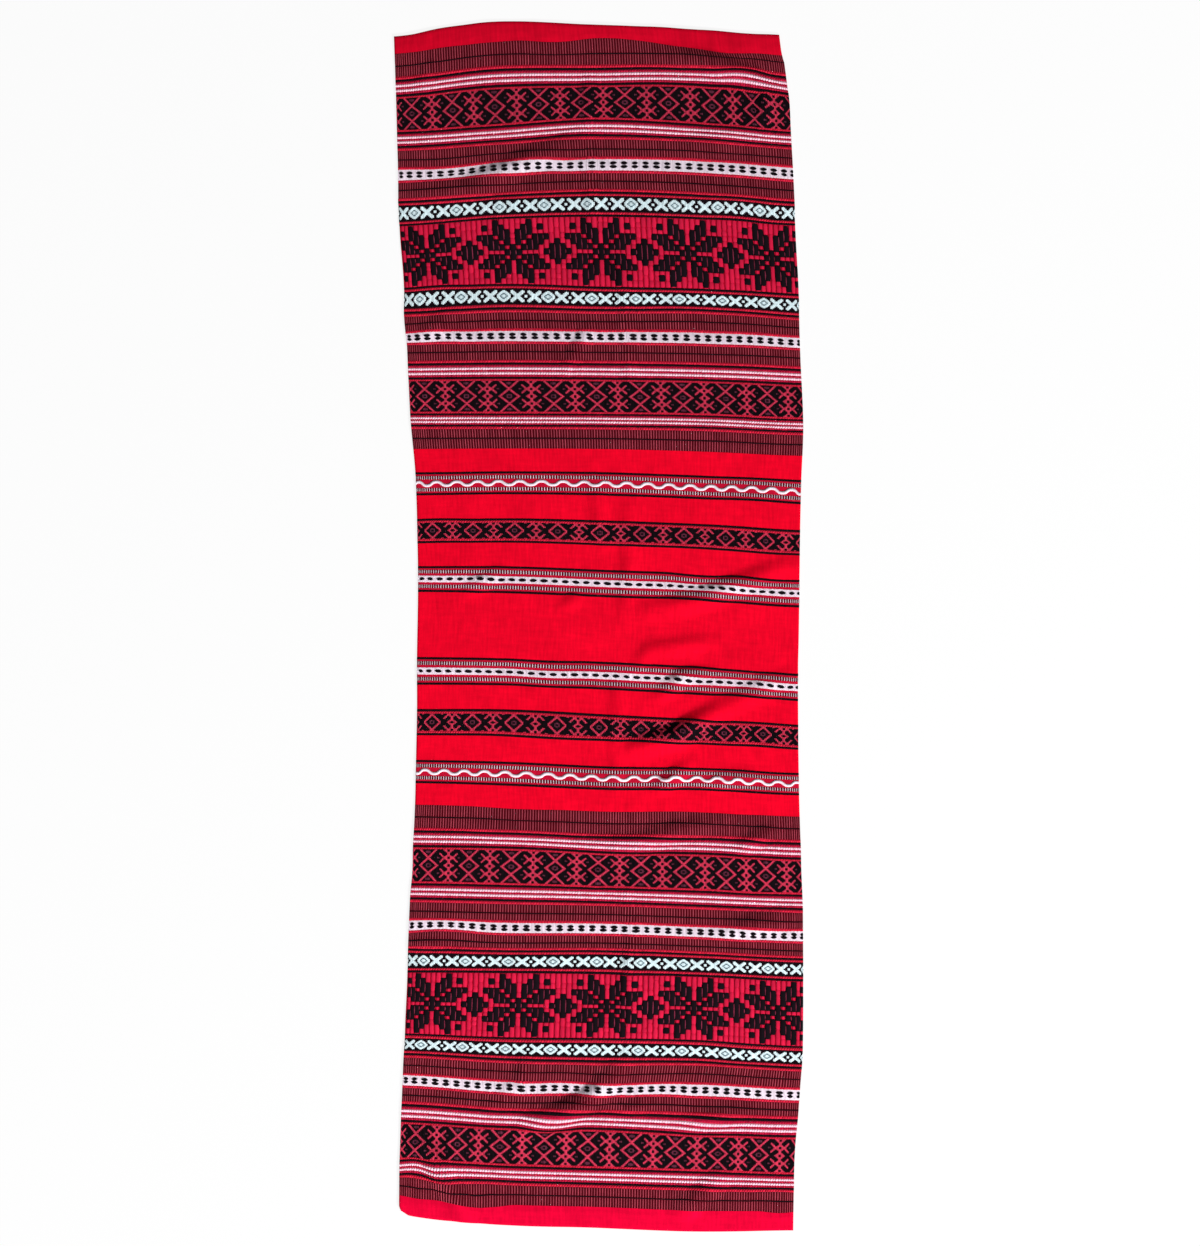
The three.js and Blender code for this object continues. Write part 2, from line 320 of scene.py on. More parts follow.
def place(across, below):
    """Where a yarn crossing of the loom lies on the surface, in millimetres."""
    table = np.array(STATIONS, float)
    along = TOP_HEM_ALONG + below
    position = np.interp(-along, -table[:, 0], np.arange(len(table), dtype=float))
    columns = [smooth_through(np.repeat(table[:, [k]], len(along), axis=1), position)
               for k in range(1, table.shape[1])]
    left, right, low_l, low_q, low_r, low_rr = columns
    lows = np.stack([low_l, low_q, np.zeros(len(along)), low_r, low_rr])
    share = np.clip(share_across(across, loom_width() / MM), 0, 1)
    x = left + share * (right - left) + np.interp(across, *np.transpose(CREEP))
    y = along - smooth_through(lows, share * (len(lows) - 1))
    for pull in PULLS:
        drawn = (soft((x - pull.across) / pull.reach_across)
                 * soft((y - pull.along) / pull.reach_along))
        x = x + pull.right * drawn
        y = y + pull.up * drawn
    return x, y


def between(table, rows, columns, row, column):
    """Reads a table that has a value for each of its rows and columns, at places between them."""
    i = np.clip(np.searchsorted(rows, row) - 1, 0, len(rows) - 2)
    j = np.clip(np.searchsorted(columns, column) - 1, 0, len(columns) - 2)
    a = np.clip((row - rows[i]) / (rows[i + 1] - rows[i]), 0, 1)
    b = np.clip((column - columns[j]) / (columns[j + 1] - columns[j]), 0, 1)
    return ((table[i, j] * (1 - b) + table[i, j + 1] * b) * (1 - a)
            + (table[i + 1, j] * (1 - b) + table[i + 1, j + 1] * b) * a)


class Lie(NamedTuple):
    """How high the cloth lies, at the rows and columns of points of its own mesh, so that
    every yarn lies exactly on that mesh."""

    rows: object
    columns: object
    lift: object


def make_lie():
    """Reads the lift at every point of the ground cloth's mesh."""
    rows, columns = ground_rows() / MM, ground_columns() / MM
    across, below = (grid.ravel() for grid in np.meshgrid(columns, -rows))
    x, y = place(across, below)
    return Lie(rows, columns, lift_at(x, y)[0].reshape(len(rows), len(columns)))


LIE = []


def lay_out(points):
    """Takes loom-space points, in metres, to where the cloth lies."""
    if not LIE:
        LIE.append(make_lie())
    lie = LIE[0]
    across, below, off = np.asarray(points, float).T / MM
    x, y = place(across, below)
    _, slope_x, slope_y = lift_at(x, y)
    lift = between(lie.lift, lie.rows, lie.columns, -below, across)
    steep = np.sqrt(1 + slope_x ** 2 + slope_y ** 2)
    return np.stack([x - off * slope_x / steep, y - off * slope_y / steep,
                     lift + off / steep], axis=1) * MM


# ------------------------------------------------------------------ sizes and colours

def rgb(red, green, blue, alpha=1.0):
    """A colour as it shows on a screen, from 0 to 255, as the linear one that shaders use."""
    shares = (c / 255 for c in (red, green, blue))
    return (*(c / 12.92 if c <= 0.04045 else ((c + 0.055) / 1.055) ** 2.4 for c in shares), alpha)


def length_prop(name, description, default):
    return bpy.props.FloatProperty(name=name, description=description, default=default * MM,
                                   min=0.0, precision=5, unit="LENGTH")


def colour_prop(name, description, default):
    return bpy.props.FloatVectorProperty(name=name, description=description, default=default,
                                         size=4, min=0.0, max=1.0, subtype="COLOR")


class RunnerSizes(bpy.types.PropertyGroup):
    """Sizes of the weave."""

    tick: length_prop("Tick", "Width of one pair of yarns across the cloth", 2.69)
    ticks: bpy.props.IntProperty(name="Ticks", description="Pairs of yarns across the cloth",
                                 default=151, min=10, subtype="UNSIGNED")
    cloth: length_prop("Cloth", "Thickness of the ground cloth", 1.4)
    hem: length_prop("Hem", "How much thicker the turned hems are", 0.8)
    bar_rise: length_prop("Star bar rise", "How far the bars of the star band stand proud", 1.1)
    float_rise: length_prop("Float rise", "How far the pattern floats stand proud", 0.6)
    line_rise: length_prop("Line rise", "How far the narrow lines stand proud", 0.5)


class RunnerColours(bpy.types.PropertyGroup):
    """Colours of the yarns."""

    red: colour_prop("Ground red", "Plain ground cloth", rgb(236, 4, 38))
    # The upper hem is the ground red darkened as painted shade, where that end curls away from the
    # lamp.
    upper_hem: colour_prop("Upper hem", "Turned hem at the upper end", rgb(211, 5, 38))
    # The lower hem is the ground red made pinker as painted light, where the lamp lights that end
    # brightest.
    lower_hem: colour_prop("Lower hem", "Turned hem at the lower end", rgb(230, 4, 53))
    crimson: colour_prop("Crimson", "Narrow lines", rgb(214, 32, 62))
    bed: colour_prop("Bed", "Lines beside the rope stripes", rgb(190, 22, 60))
    lattice: colour_prop("Lattice", "Lattice and small diamonds", rgb(213, 58, 88))
    scarlet: colour_prop("Scarlet", "Bars of the star bands", rgb(213, 26, 66))
    wine: colour_prop("Wine", "Ground of the star bands", rgb(186, 8, 42))
    maroon: colour_prop("Maroon", "Ground under the ribs", rgb(78, 4, 17))
    field: colour_prop("Deep crimson", "Ground of the bead and wave bands", rgb(190, 16, 48))
    dusk: colour_prop("Dusky red", "Dark ticks between the white ones", rgb(108, 12, 32))
    rib: colour_prop("Rib", "Ticks of the ribbed bands", rgb(166, 64, 80))
    black: colour_prop("Black", "Black yarn", rgb(20, 10, 17))
    dull: colour_prop("Dull", "Small marks in the black", rgb(112, 48, 70))
    tie: colour_prop("Tie", "Thin lines between the black bars", rgb(128, 42, 66))
    white: colour_prop("White", "White yarn", rgb(246, 232, 243))
    pink: colour_prop("Pinkish white", "Rope stripes", rgb(255, 212, 229))
    rose: colour_prop("Rose", "Ground under the rope stripes", rgb(232, 120, 150))
    ice: colour_prop("Pale blue", "Pale blue yarn", rgb(232, 248, 252))
    slate: colour_prop("Slate", "Rings in the pale blue diamonds", rgb(112, 138, 148))


class StageSettings(bpy.types.PropertyGroup):
    """Lamps, floor and camera."""

    lens: bpy.props.FloatProperty(name="Lens", description="Focal length in millimetres",
                                  default=135.0, min=20.0, unit="CAMERA")
    lamp_power: bpy.props.FloatProperty(name="Lamp", description="Power of the soft lamp",
                                        default=412.0, min=0.0, unit="POWER")
    lamp_place: bpy.props.FloatVectorProperty(name="Lamp place", description="Where the lamp is",
                                              default=(2.66, -3.64, 3.15), subtype="XYZ",
                                              unit="LENGTH")
    lamp_size: bpy.props.FloatProperty(name="Lamp size", description="Side of the soft lamp",
                                       default=1.0, min=0.01, unit="LENGTH")
    sky: bpy.props.FloatProperty(name="Sky", description="Light from all round",
                                 default=0.24, min=0.0, subtype="UNSIGNED")
    floor_glow: bpy.props.FloatProperty(name="Floor glow", description="Share of the floor that "
                                        "shows plain white to the camera", default=0.88,
                                        min=0.0, max=1.0, subtype="FACTOR")


def sizes():
    return bpy.context.scene.runner_sizes


def colours():
    return bpy.context.scene.runner_colours


def loom_width():
    return sizes().tick * sizes().ticks


# ------------------------------------------------------------------ the weaver's draft

class Band(NamedTuple):
    """One band of the weave, and the distances from the upper hem where it starts and ends."""

    kind: str
    start: float
    end: float

    @property
    def middle(self):
        return (self.start + self.end) / 2

    @property
    def length(self):
        return self.end - self.start


# Kind and length of each band, from the upper hem to the lower one.
DRAFT = (
    ("upper hem", 14.5), ("ribs", 26.0), ("red", 3.0), ("ropes", 17.8),
    ("lattice", 33.8), ("ropes", 17.1), ("red", 2.8), ("ribs", 17.2),
    ("red", 3.0), ("dashes", 10.9), ("red", 2.7), ("ribs", 15.8),
    ("red", 2.5), ("black", 2.4), ("red", 2.1), ("black", 1.6),
    ("blue", 12.6), ("black", 2.0), ("red", 2.2), ("black", 2.4),
    ("stars", 69.8),
    ("black", 2.4), ("red", 2.2), ("black", 1.8), ("blue", 11.5), ("black", 2.0),
    ("red", 2.3), ("black", 2.4), ("red", 2.6), ("ribs", 15.6),
    ("red", 2.8), ("dashes", 9.9), ("red", 2.6),
    ("ribs", 16.0), ("red", 2.5), ("ropes", 16.5), ("lattice", 34.1),
    ("ropes", 13.1), ("red", 2.5), ("ribs", 19.7),
    ("plain", 23.1), ("wave", 23.6), ("plain", 24.7), ("small diamonds", 25.2),
    ("plain", 24.2), ("beads", 27.5), ("plain", 64.4), ("beads", 28.0), ("plain", 24.5),
    ("small diamonds", 26.9), ("plain", 25.0), ("wave", 23.7), ("plain", 21.6),
    ("ribs", 22.6), ("red", 2.4), ("ropes", 16.5), ("lattice", 34.4), ("ropes", 15.8),
    ("red", 2.5), ("ribs", 15.3), ("red", 2.7), ("dashes", 9.5),
    ("red", 2.4), ("ribs", 12.2), ("red", 2.2),
    ("black", 2.1), ("red", 2.1), ("black", 2.0), ("blue", 11.0), ("black", 2.0),
    ("red", 2.1), ("black", 2.5),
    ("stars", 64.0),
    ("black", 2.1), ("red", 2.8), ("black", 1.6), ("blue", 11.0), ("black", 2.0),
    ("red", 2.4), ("black", 2.8), ("red", 2.7), ("ribs", 17.8), ("red", 2.7),
    ("dashes", 10.1), ("red", 2.4), ("ribs", 12.0),
    ("red", 2.4), ("ropes", 17.0), ("lattice", 38.2), ("ropes", 16.9), ("red", 2.6),
    ("ribs", 19.3), ("lower hem", 20.6),
)

# Bands that are themselves made of narrower ones, in the same order and in shares of the whole.
INNER_BANDS = {
    "ropes": (("black", 2.5), ("bed", 2.4), ("rope", 2.8), ("bed", 2.2), ("rope", 2.8),
              ("bed", 2.3), ("black", 2.5)),
    "lattice": (("red", 1.7), ("lattice", 30.4), ("red", 1.7)),
    "small diamonds": (("black", 2.3), ("red", 2.1), ("small diamonds", 16.4), ("red", 2.1),
                       ("black", 2.3)),
    "wave": (("black", 2.3), ("field", 1.7), ("ticks", 3.4), ("wave", 8.8), ("ticks", 3.4),
             ("field", 1.7), ("black", 2.3)),
    "beads": (("black", 2.3), ("field", 1.8), ("ticks", 3.5), ("field", 2.6), ("beads", 6.7),
              ("field", 2.6), ("ticks", 3.5), ("field", 1.8), ("black", 2.3)),
}


def draft():
    """Every band of the cloth, with the compound ones opened up into their own bands."""
    bands = []
    start = 0.0
    for kind, length in DRAFT:
        inner = INNER_BANDS.get(kind, ((kind, length),))
        scale = length / sum(share for _, share in inner)
        for inner_kind, share in inner:
            end = start + share * scale
            bands.append(Band(inner_kind, start * MM, end * MM))
            start = end
    return bands


def bands_of(*kinds):
    return [band for band in draft() if band.kind in kinds]


# ------------------------------------------------------------------ node trees

def add_node(tree, kind, inputs=None, **settings):
    """Adds a node, with its settings and its inputs, which are values or other nodes' outputs."""
    node = tree.nodes.new(kind)
    for name, value in settings.items():
        setattr(node, name, value)
    for key, value in (inputs or {}).items():
        socket = node.inputs[key]
        if isinstance(value, bpy.types.NodeSocket):
            tree.links.new(value, socket)
        else:
            socket.default_value = value
    return node


def maths(tree, operation, *values):
    return add_node(tree, "ShaderNodeMath", dict(enumerate(values)),
                    operation=operation).outputs[0]


def new_geometry_tree(name, inputs):
    """A geometry tree with its group input, which has a socket for each (name, type, default)."""
    tree = bpy.data.node_groups.new(name, "GeometryNodeTree")
    face = tree.interface
    face.new_socket("Geometry", in_out="INPUT", socket_type="NodeSocketGeometry")
    for label, kind, default in inputs:
        socket = face.new_socket(label, in_out="INPUT", socket_type=kind)
        if default is not None:
            socket.default_value = default
    face.new_socket("Geometry", in_out="OUTPUT", socket_type="NodeSocketGeometry")
    return tree, tree.nodes.new("NodeGroupInput").outputs


def random_value(tree, seed, low=0.0, high=1.0):
    return add_node(tree, "FunctionNodeRandomValue", {2: low, 3: high, "Seed": seed},
                    data_type="FLOAT").outputs[1]


def store_tone(tree, geometry, seed, domain):
    """Keeps a number from 0 to 1 for each float or stitch, which its material reads."""
    return add_node(tree, "GeometryNodeStoreNamedAttribute",
                    {"Geometry": geometry, "Name": "tone", "Value": random_value(tree, seed)},
                    data_type="FLOAT", domain=domain).outputs[0]


def path_width(tree):
    return add_node(tree, "GeometryNodeInputNamedAttribute", {"Name": "width"},
                    data_type="FLOAT").outputs[0]


def finish_tree(tree, geometry, material):
    """Ends a tree in smooth shading, Realize Instances and Set Material."""
    smooth = add_node(tree, "GeometryNodeSetShadeSmooth", {"Geometry": geometry})
    real = add_node(tree, "GeometryNodeRealizeInstances", {"Geometry": smooth.outputs[0]})
    dyed = add_node(tree, "GeometryNodeSetMaterial",
                    {"Geometry": real.outputs[0], "Material": material})
    add_node(tree, "NodeGroupOutput", {0: dyed.outputs[0]})


def float_tree():
    """Yarn floats: each path of the mesh becomes a rounded, closed float of its own width."""
    tree, given = new_geometry_tree("yarn floats", (
        ("Rise", "NodeSocketFloat", 0.6 * MM),
        ("Half width", "NodeSocketFloat", 0.7 * MM),
        ("Sides", "NodeSocketInt", 4),
        ("Step", "NodeSocketFloat", 2.0 * MM),
        ("Fewest rings", "NodeSocketInt", 3),
        ("Round end", "NodeSocketFloat", 0.6 * MM),
        ("End share", "NodeSocketFloat", 0.5),
        ("Pointedness", "NodeSocketFloat", 0.5),
        ("Sunk share", "NodeSocketFloat", 0.3),
        ("Seed", "NodeSocketInt", 1),
        ("Material", "NodeSocketMaterial", None),
    ))
    curves = add_node(tree, "GeometryNodeMeshToCurve", {"Mesh": given["Geometry"]}).outputs[0]
    toned = store_tone(tree, curves, given["Seed"], "CURVE")
    whole = add_node(tree, "GeometryNodeSplineLength").outputs["Length"]
    steps = maths(tree, "DIVIDE", whole, given["Step"])
    rings = maths(tree, "MAXIMUM", maths(tree, "ROUND", steps), given["Fewest rings"])
    ringed = add_node(tree, "GeometryNodeResampleCurve", {"Curve": toned, "Count": rings},
                      mode="COUNT").outputs[0]
    level = add_node(tree, "GeometryNodeSetCurveNormal", {"Curve": ringed},
                     mode="Z_UP").outputs[0]

    passed = add_node(tree, "GeometryNodeSplineParameter").outputs["Length"]
    total = add_node(tree, "GeometryNodeSplineLength").outputs["Length"]
    to_end = maths(tree, "MINIMUM", passed, maths(tree, "SUBTRACT", total, passed))
    inward = maths(tree, "MINIMUM", maths(tree, "DIVIDE", to_end, given["Round end"]), 1.0)
    short = maths(tree, "SUBTRACT", 1.0, inward)
    arc = maths(tree, "POWER", maths(tree, "SUBTRACT", 1.0, maths(tree, "MULTIPLY", short, short)),
                given["Pointedness"])
    rest = maths(tree, "SUBTRACT", 1.0, given["End share"])
    fullness = maths(tree, "MULTIPLY_ADD", arc, rest, given["End share"])
    radius = maths(tree, "MULTIPLY", fullness, maths(tree, "MULTIPLY", path_width(tree), 0.5))
    shaped = add_node(tree, "GeometryNodeSetCurveRadius", {"Curve": level, "Radius": radius})

    ring = add_node(tree, "GeometryNodeCurvePrimitiveCircle",
                    {"Resolution": given["Sides"], "Radius": 1.0}, mode="RADIUS").outputs[0]
    position = add_node(tree, "GeometryNodeInputPosition").outputs[0]
    parts = add_node(tree, "ShaderNodeSeparateXYZ", {0: position})
    # The sweep lays a profile with its negative side up.
    height = maths(tree, "MINIMUM", parts.outputs["Y"], given["Sunk share"])
    steepness = maths(tree, "DIVIDE", given["Rise"], given["Half width"])
    flat = add_node(tree, "ShaderNodeCombineXYZ",
                    {"X": parts.outputs["X"], "Y": maths(tree, "MULTIPLY", height, steepness)})
    profile = add_node(tree, "GeometryNodeSetPosition",
                       {"Geometry": ring, "Position": flat.outputs[0]}).outputs[0]
    swept = add_node(tree, "GeometryNodeCurveToMesh",
                     {"Curve": shaped.outputs[0], "Profile Curve": profile,
                      "Scale": add_node(tree, "GeometryNodeInputRadius").outputs[0],
                      "Fill Caps": True})
    finish_tree(tree, swept.outputs[0], given["Material"])
    return tree


STITCH_WIDTHS = (0.88, 1.1)  # how unequal the stitches are, as shares of their row's width
STITCH_WOBBLE = 0.12  # radians


def stitch_tree():
    """Rows of stitches: small slanted pads set along each path at the weave's own pitch."""
    tree, given = new_geometry_tree("rows of stitches", (
        ("Pitch", "NodeSocketFloat", 2.69 * MM),
        ("Length", "NodeSocketFloat", 3.2 * MM),
        ("Rise", "NodeSocketFloat", 0.5 * MM),
        ("Slant", "NodeSocketFloat", 0.5),
        ("Sides", "NodeSocketInt", 6),
        ("Seed", "NodeSocketInt", 1),
        ("Material", "NodeSocketMaterial", None),
    ))
    curves = add_node(tree, "GeometryNodeMeshToCurve", {"Mesh": given["Geometry"]}).outputs[0]
    spread = add_node(tree, "GeometryNodeResampleCurve",
                      {"Curve": curves, "Length": given["Pitch"]}, mode="LENGTH").outputs[0]
    pad = add_node(tree, "GeometryNodeMeshCone",
                   {"Vertices": given["Sides"], "Radius Top": 0.0, "Radius Bottom": 0.5,
                    "Depth": 1.0}, fill_type="NGON").outputs[0]
    unequal = random_value(tree, given["Seed"], *STITCH_WIDTHS)
    size = add_node(tree, "ShaderNodeCombineXYZ",
                    {"X": given["Length"],
                     "Y": maths(tree, "MULTIPLY", path_width(tree), unequal),
                     "Z": given["Rise"]}).outputs[0]
    wobble = random_value(tree, given["Seed"], -STITCH_WOBBLE, STITCH_WOBBLE)
    turn = add_node(tree, "ShaderNodeCombineXYZ",
                    {"Z": maths(tree, "ADD", given["Slant"], wobble)}).outputs[0]
    set_out = add_node(tree, "GeometryNodeInstanceOnPoints",
                       {"Points": spread, "Instance": pad, "Rotation": turn, "Scale": size})
    toned = store_tone(tree, set_out.outputs[0], given["Seed"], "INSTANCE")
    finish_tree(tree, toned, given["Material"])
    return tree


def tree_named(name, build):
    return bpy.data.node_groups.get(name) or build()


# ------------------------------------------------------------------ materials

def new_material(name):
    material = bpy.data.materials.new(name)
    material.use_nodes = True
    tree = material.node_tree
    tree.nodes.clear()
    return material, tree


BUMP_STRENGTH = 0.5
YARN_ROUGHNESS = 0.9
SHEEN_ROUGHNESS = 0.5


def finish_material(tree, colour, height, depth, shine, sheen, tint):
    """Ends a material in matt yarn whose surface is uneven by a depth in millimetres."""
    bump = add_node(tree, "ShaderNodeBump", {"Height": height, "Strength": BUMP_STRENGTH,
                                             "Distance": depth * MM}).outputs[0]
    shader = add_node(tree, "ShaderNodeBsdfPrincipled", {
        "Base Color": colour, "Normal": bump, "Roughness": YARN_ROUGHNESS,
        "Specular IOR Level": shine, "Sheen Weight": sheen,
        "Sheen Roughness": SHEEN_ROUGHNESS, "Sheen Tint": tint})
    add_node(tree, "ShaderNodeOutputMaterial", {"Surface": shader.outputs[0]})


def loom_place(tree):
    return add_node(tree, "ShaderNodeUVMap", uv_map="loom").outputs[0]


def waves_of(tree, distance, pitch):
    """A wave along a distance, one to each pitch in millimetres."""
    turns = maths(tree, "MULTIPLY", distance, 2 * math.pi / (pitch * MM))
    return maths(tree, "SINE", turns)


def loom_noise(tree, scale, stretch=(1.0, 1.0, 1.0), detail=2.0):
    """Noise laid out along the yarns, so many changes a metre."""
    spread = add_node(tree, "ShaderNodeMapping",
                      {"Vector": loom_place(tree), "Scale": stretch}).outputs[0]
    noise = add_node(tree, "ShaderNodeTexNoise",
                     {"Vector": spread, "Scale": scale, "Detail": detail})
    return noise.outputs[0]


def shade_by(tree, colour, amount, low, high):
    """Darkens or lightens a colour as amount goes from 0 to 1."""
    level = add_node(tree, "ShaderNodeMapRange",
                     {"Value": amount, "To Min": low, "To Max": high}).outputs[0]
    grey = add_node(tree, "ShaderNodeCombineColor", {0: level, 1: level, 2: level}).outputs[0]
    mix = add_node(tree, "ShaderNodeMix", {0: 1.0, 6: colour, 7: grey}, data_type="RGBA",
                   blend_type="MULTIPLY", clamp_result=False)
    return mix.outputs[2]


PLY_PITCH = 0.67  # millimetres from one ply of the yarn to the next
PLY_SHARE = 0.25  # of the bumps, beside the fuzz
YARN_FUZZ = 2600
YARN_DEPTH = 0.25
YARN_SHINE = 0.08
# Noise that shades yarn: how fine it is, how it is stretched along the loom, and how dark and
# how light it goes.
YARN_STREAKS = (900, (1.0, 0.18, 1.0), 0.72, 1.26)


def yarn_material(name, colour, variety=0.3, sheen=0.08):
    """Spun yarn: each float a little lighter or darker, with fine plies and fuzz along it."""
    material, tree = new_material(name)
    tone = add_node(tree, "ShaderNodeAttribute", attribute_name="tone").outputs["Fac"]
    dyed = shade_by(tree, colour, tone, 1 - variety / 2, 1 + variety / 2)
    fineness, stretch, dark, light = YARN_STREAKS
    dyed = shade_by(tree, dyed, loom_noise(tree, fineness, stretch), dark, light)
    across = add_node(tree, "ShaderNodeSeparateXYZ", {0: loom_place(tree)}).outputs["X"]
    plies = waves_of(tree, across, PLY_PITCH)
    height = maths(tree, "MULTIPLY_ADD", plies, PLY_SHARE, loom_noise(tree, YARN_FUZZ))
    finish_material(tree, dyed, height, YARN_DEPTH, YARN_SHINE, sheen, colour)
    return material


WEFT_PITCH = 0.95  # millimetres from one crosswise yarn of the ground to the next
WEAVE_SHARE = 0.22  # of the bumps, beside the fuzz
GROUND_FUZZ = 1800
GROUND_DEPTH = 0.2
GROUND_SHINE = 0.02
GROUND_SHEEN = 0.02
# Noise that shades the ground: fineness, stretch, detail, darkest and lightest.
GROUND_SHADES = (
    (420, (1.0, 0.12, 1.0), 3.0, 0.72, 1.3),  # streaks along the cloth
    (260, (0.2, 1.0, 1.0), 3.0, 0.82, 1.18),  # slubs across it
    (30, (1.0, 1.0, 1.0), 2.0, 0.84, 1.16),  # blotches
)


def ground_material():
    """The ground cloth: fine rep weave over the colour that each band is woven in."""
    material, tree = new_material("ground weave")
    dyed = add_node(tree, "ShaderNodeAttribute", attribute_name="ground").outputs["Color"]
    for fineness, stretch, detail, dark, light in GROUND_SHADES:
        dyed = shade_by(tree, dyed, loom_noise(tree, fineness, stretch, detail), dark, light)
    parts = add_node(tree, "ShaderNodeSeparateXYZ", {0: loom_place(tree)})
    warp = waves_of(tree, parts.outputs["X"], sizes().tick / MM / 2)
    weft = waves_of(tree, parts.outputs["Y"], WEFT_PITCH)
    weave = maths(tree, "MULTIPLY_ADD", warp, weft, warp)
    height = maths(tree, "MULTIPLY_ADD", weave, WEAVE_SHARE, loom_noise(tree, GROUND_FUZZ))
    finish_material(tree, dyed, height, GROUND_DEPTH, GROUND_SHINE, GROUND_SHEEN, colours().red)
    return material


# ------------------------------------------------------------------ making pieces

def path_mesh(name, paths, widths):
    """A mesh of bare edges in loom space: one chain for each path, with its width."""
    points = np.concatenate([np.asarray(path, float) for path in paths])
    counts = np.array([len(path) for path in paths])
    starts = np.concatenate([[0], np.cumsum(counts)[:-1]])
    edges = np.concatenate([np.arange(start, start + count - 1)
                            for start, count in zip(starts, counts)])
    mesh = bpy.data.meshes.new(name)
    mesh.vertices.add(len(points))
    mesh.edges.add(len(edges))
    mesh.vertices.foreach_set("co", np.c_[points, np.zeros(len(points))].ravel())
    mesh.edges.foreach_set("vertices", np.c_[edges, edges + 1].ravel())
    width = mesh.attributes.new("width", "FLOAT", "POINT")
    width.data.foreach_set("value", np.repeat(np.asarray(widths, float), counts))
    mesh.update()
    return mesh


def run_tree(mesh, tree, inputs):
    """Runs a geometry tree on a mesh and gives the plain mesh that comes out."""
    holder = bpy.data.objects.new(mesh.name, mesh)
    bpy.context.scene.collection.objects.link(holder)
    modifier = holder.modifiers.new(tree.name, "NODES")
    modifier.node_group = tree
    for item in tree.interface.items_tree:
        if item.in_out == "INPUT" and item.name in inputs:
            modifier[item.identifier] = inputs[item.name]
    graph = bpy.context.evaluated_depsgraph_get()
    made = bpy.data.meshes.new_from_object(holder.evaluated_get(graph),
                                           preserve_all_data_layers=True, depsgraph=graph)
    holder.modifiers.remove(modifier)
    bpy.data.objects.remove(holder)
    bpy.data.meshes.remove(mesh)
    return made


def lay_piece(name, mesh, base):
    """Maps a mesh from loom space to the lying cloth, keeps its loom place as a UV map, and
    makes it a piece of the runner. base is how far its zero height is off the underside."""
    count = len(mesh.vertices)
    points = np.empty(count * 3)
    mesh.vertices.foreach_get("co", points)
    points = points.reshape(-1, 3)
    corners = np.empty(len(mesh.loops), int)
    mesh.loops.foreach_get("vertex_index", corners)
    uv = mesh.uv_layers.get("loom") or mesh.uv_layers.new(name="loom")
    uv.data.foreach_set("uv", (points[corners, :2] * (1, -1)).ravel())
    points[:, 2] += base
    mesh.vertices.foreach_set("co", lay_out(points).ravel())
    mesh.name = name
    mesh.update()
    piece = bpy.data.objects.new(name, mesh)
    bpy.context.scene.collection.objects.link(piece)
    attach(piece, BODY)
    return piece


def make_floats(name, paths, widths, material, rise, sides=4, step=2.0, rings=3, round_end=0.6,
                end_share=0.5, pointedness=0.5, seed=1, over=0.0):
    """A piece of yarn floats, one along each path, standing on the face of the cloth or so far
    over it. Their ends are round at a pointedness of a half, and pointed at one."""
    tree = tree_named("yarn floats", float_tree)
    mesh = run_tree(path_mesh(name, paths, widths), tree, {
        "Rise": rise, "Half width": float(np.mean(widths)) / 2, "Sides": sides,
        "Step": step * MM, "Fewest rings": rings, "Round end": round_end * MM,
        "End share": end_share, "Pointedness": pointedness, "Seed": seed,
        "Material": material})
    return lay_piece(name, mesh, sizes().cloth + over)


STITCH_SUNK = 0.1  # how far a stitch's foot is below the face of the cloth
STITCH_SIDES = 6


def make_stitches(name, kind, material, rise, spread, length, slant, seed):
    """A piece of stitches, one row along the middle of each band of a kind, which are so much
    wider than the band."""
    tree = tree_named("rows of stitches", stitch_tree)
    bands = bands_of(kind)
    rows = [crosswise(band.middle) for band in bands]
    widths = [band.length * spread for band in bands]
    mesh = run_tree(path_mesh(name, rows, widths), tree, {
        "Pitch": sizes().tick, "Length": length * MM, "Rise": rise, "Slant": slant,
        "Sides": STITCH_SIDES, "Seed": seed, "Material": material})
    return lay_piece(name, mesh, sizes().cloth - STITCH_SUNK * MM)


def upright(across, start, end):
    """A float that runs along the cloth, at one place across it."""
    return ((across, -start), (across, -end))


def crosswise(below, inset=0.0):
    """A row that runs across the cloth, from selvedge to selvedge."""
    return ((inset, -below), (loom_width() - inset, -below))


# ------------------------------------------------------------------ the ground cloth

CLOTH_CELL = 4.0  # longest side of the ground cloth's faces along the cloth
CLOTH_COLUMN = 5.0  # and across it
SELVEDGE_ROUNDING = ((0.0, 0.35), (0.35, 0.75), (1.1, 1.0))  # distance in, share of thickness
HEM_STEP = 1.2  # how gently a hem thickens

# The hems take the painted-shade and painted-light copies of the ground red.
GROUND_OF = {
    "upper hem": "upper_hem", "lower hem": "lower_hem", "plain": "red", "ribs": "maroon",
    "black": "black", "red": "crimson", "bed": "bed", "rope": "rose",
    "lattice": "black", "small diamonds": "black",
    "wave": "field", "field": "field", "ticks": "maroon", "beads": "white",
    "dashes": "white", "blue": "black", "stars": "wine",
}


def ground_rows():
    """Distances from the upper hem at which the ground cloth has a row of points."""
    rows = [0.0]
    for band in draft():
        steps = max(1, math.ceil(band.length / (CLOTH_CELL * MM)))
        rows.extend(band.start + band.length * (k + 1) / steps for k in range(steps))
    edge = [distance * MM for distance, _ in SELVEDGE_ROUNDING]
    whole = rows[-1]
    rows.extend(edge + [whole - d for d in edge])
    return np.unique(np.round(rows, 7))


def ground_columns():
    width = loom_width()
    inner = np.linspace(0, width, math.ceil(width / (CLOTH_COLUMN * MM)) + 1)
    edge = np.array([distance * MM for distance, _ in SELVEDGE_ROUNDING])
    return np.unique(np.round(np.concatenate([inner, edge, width - edge]), 7))


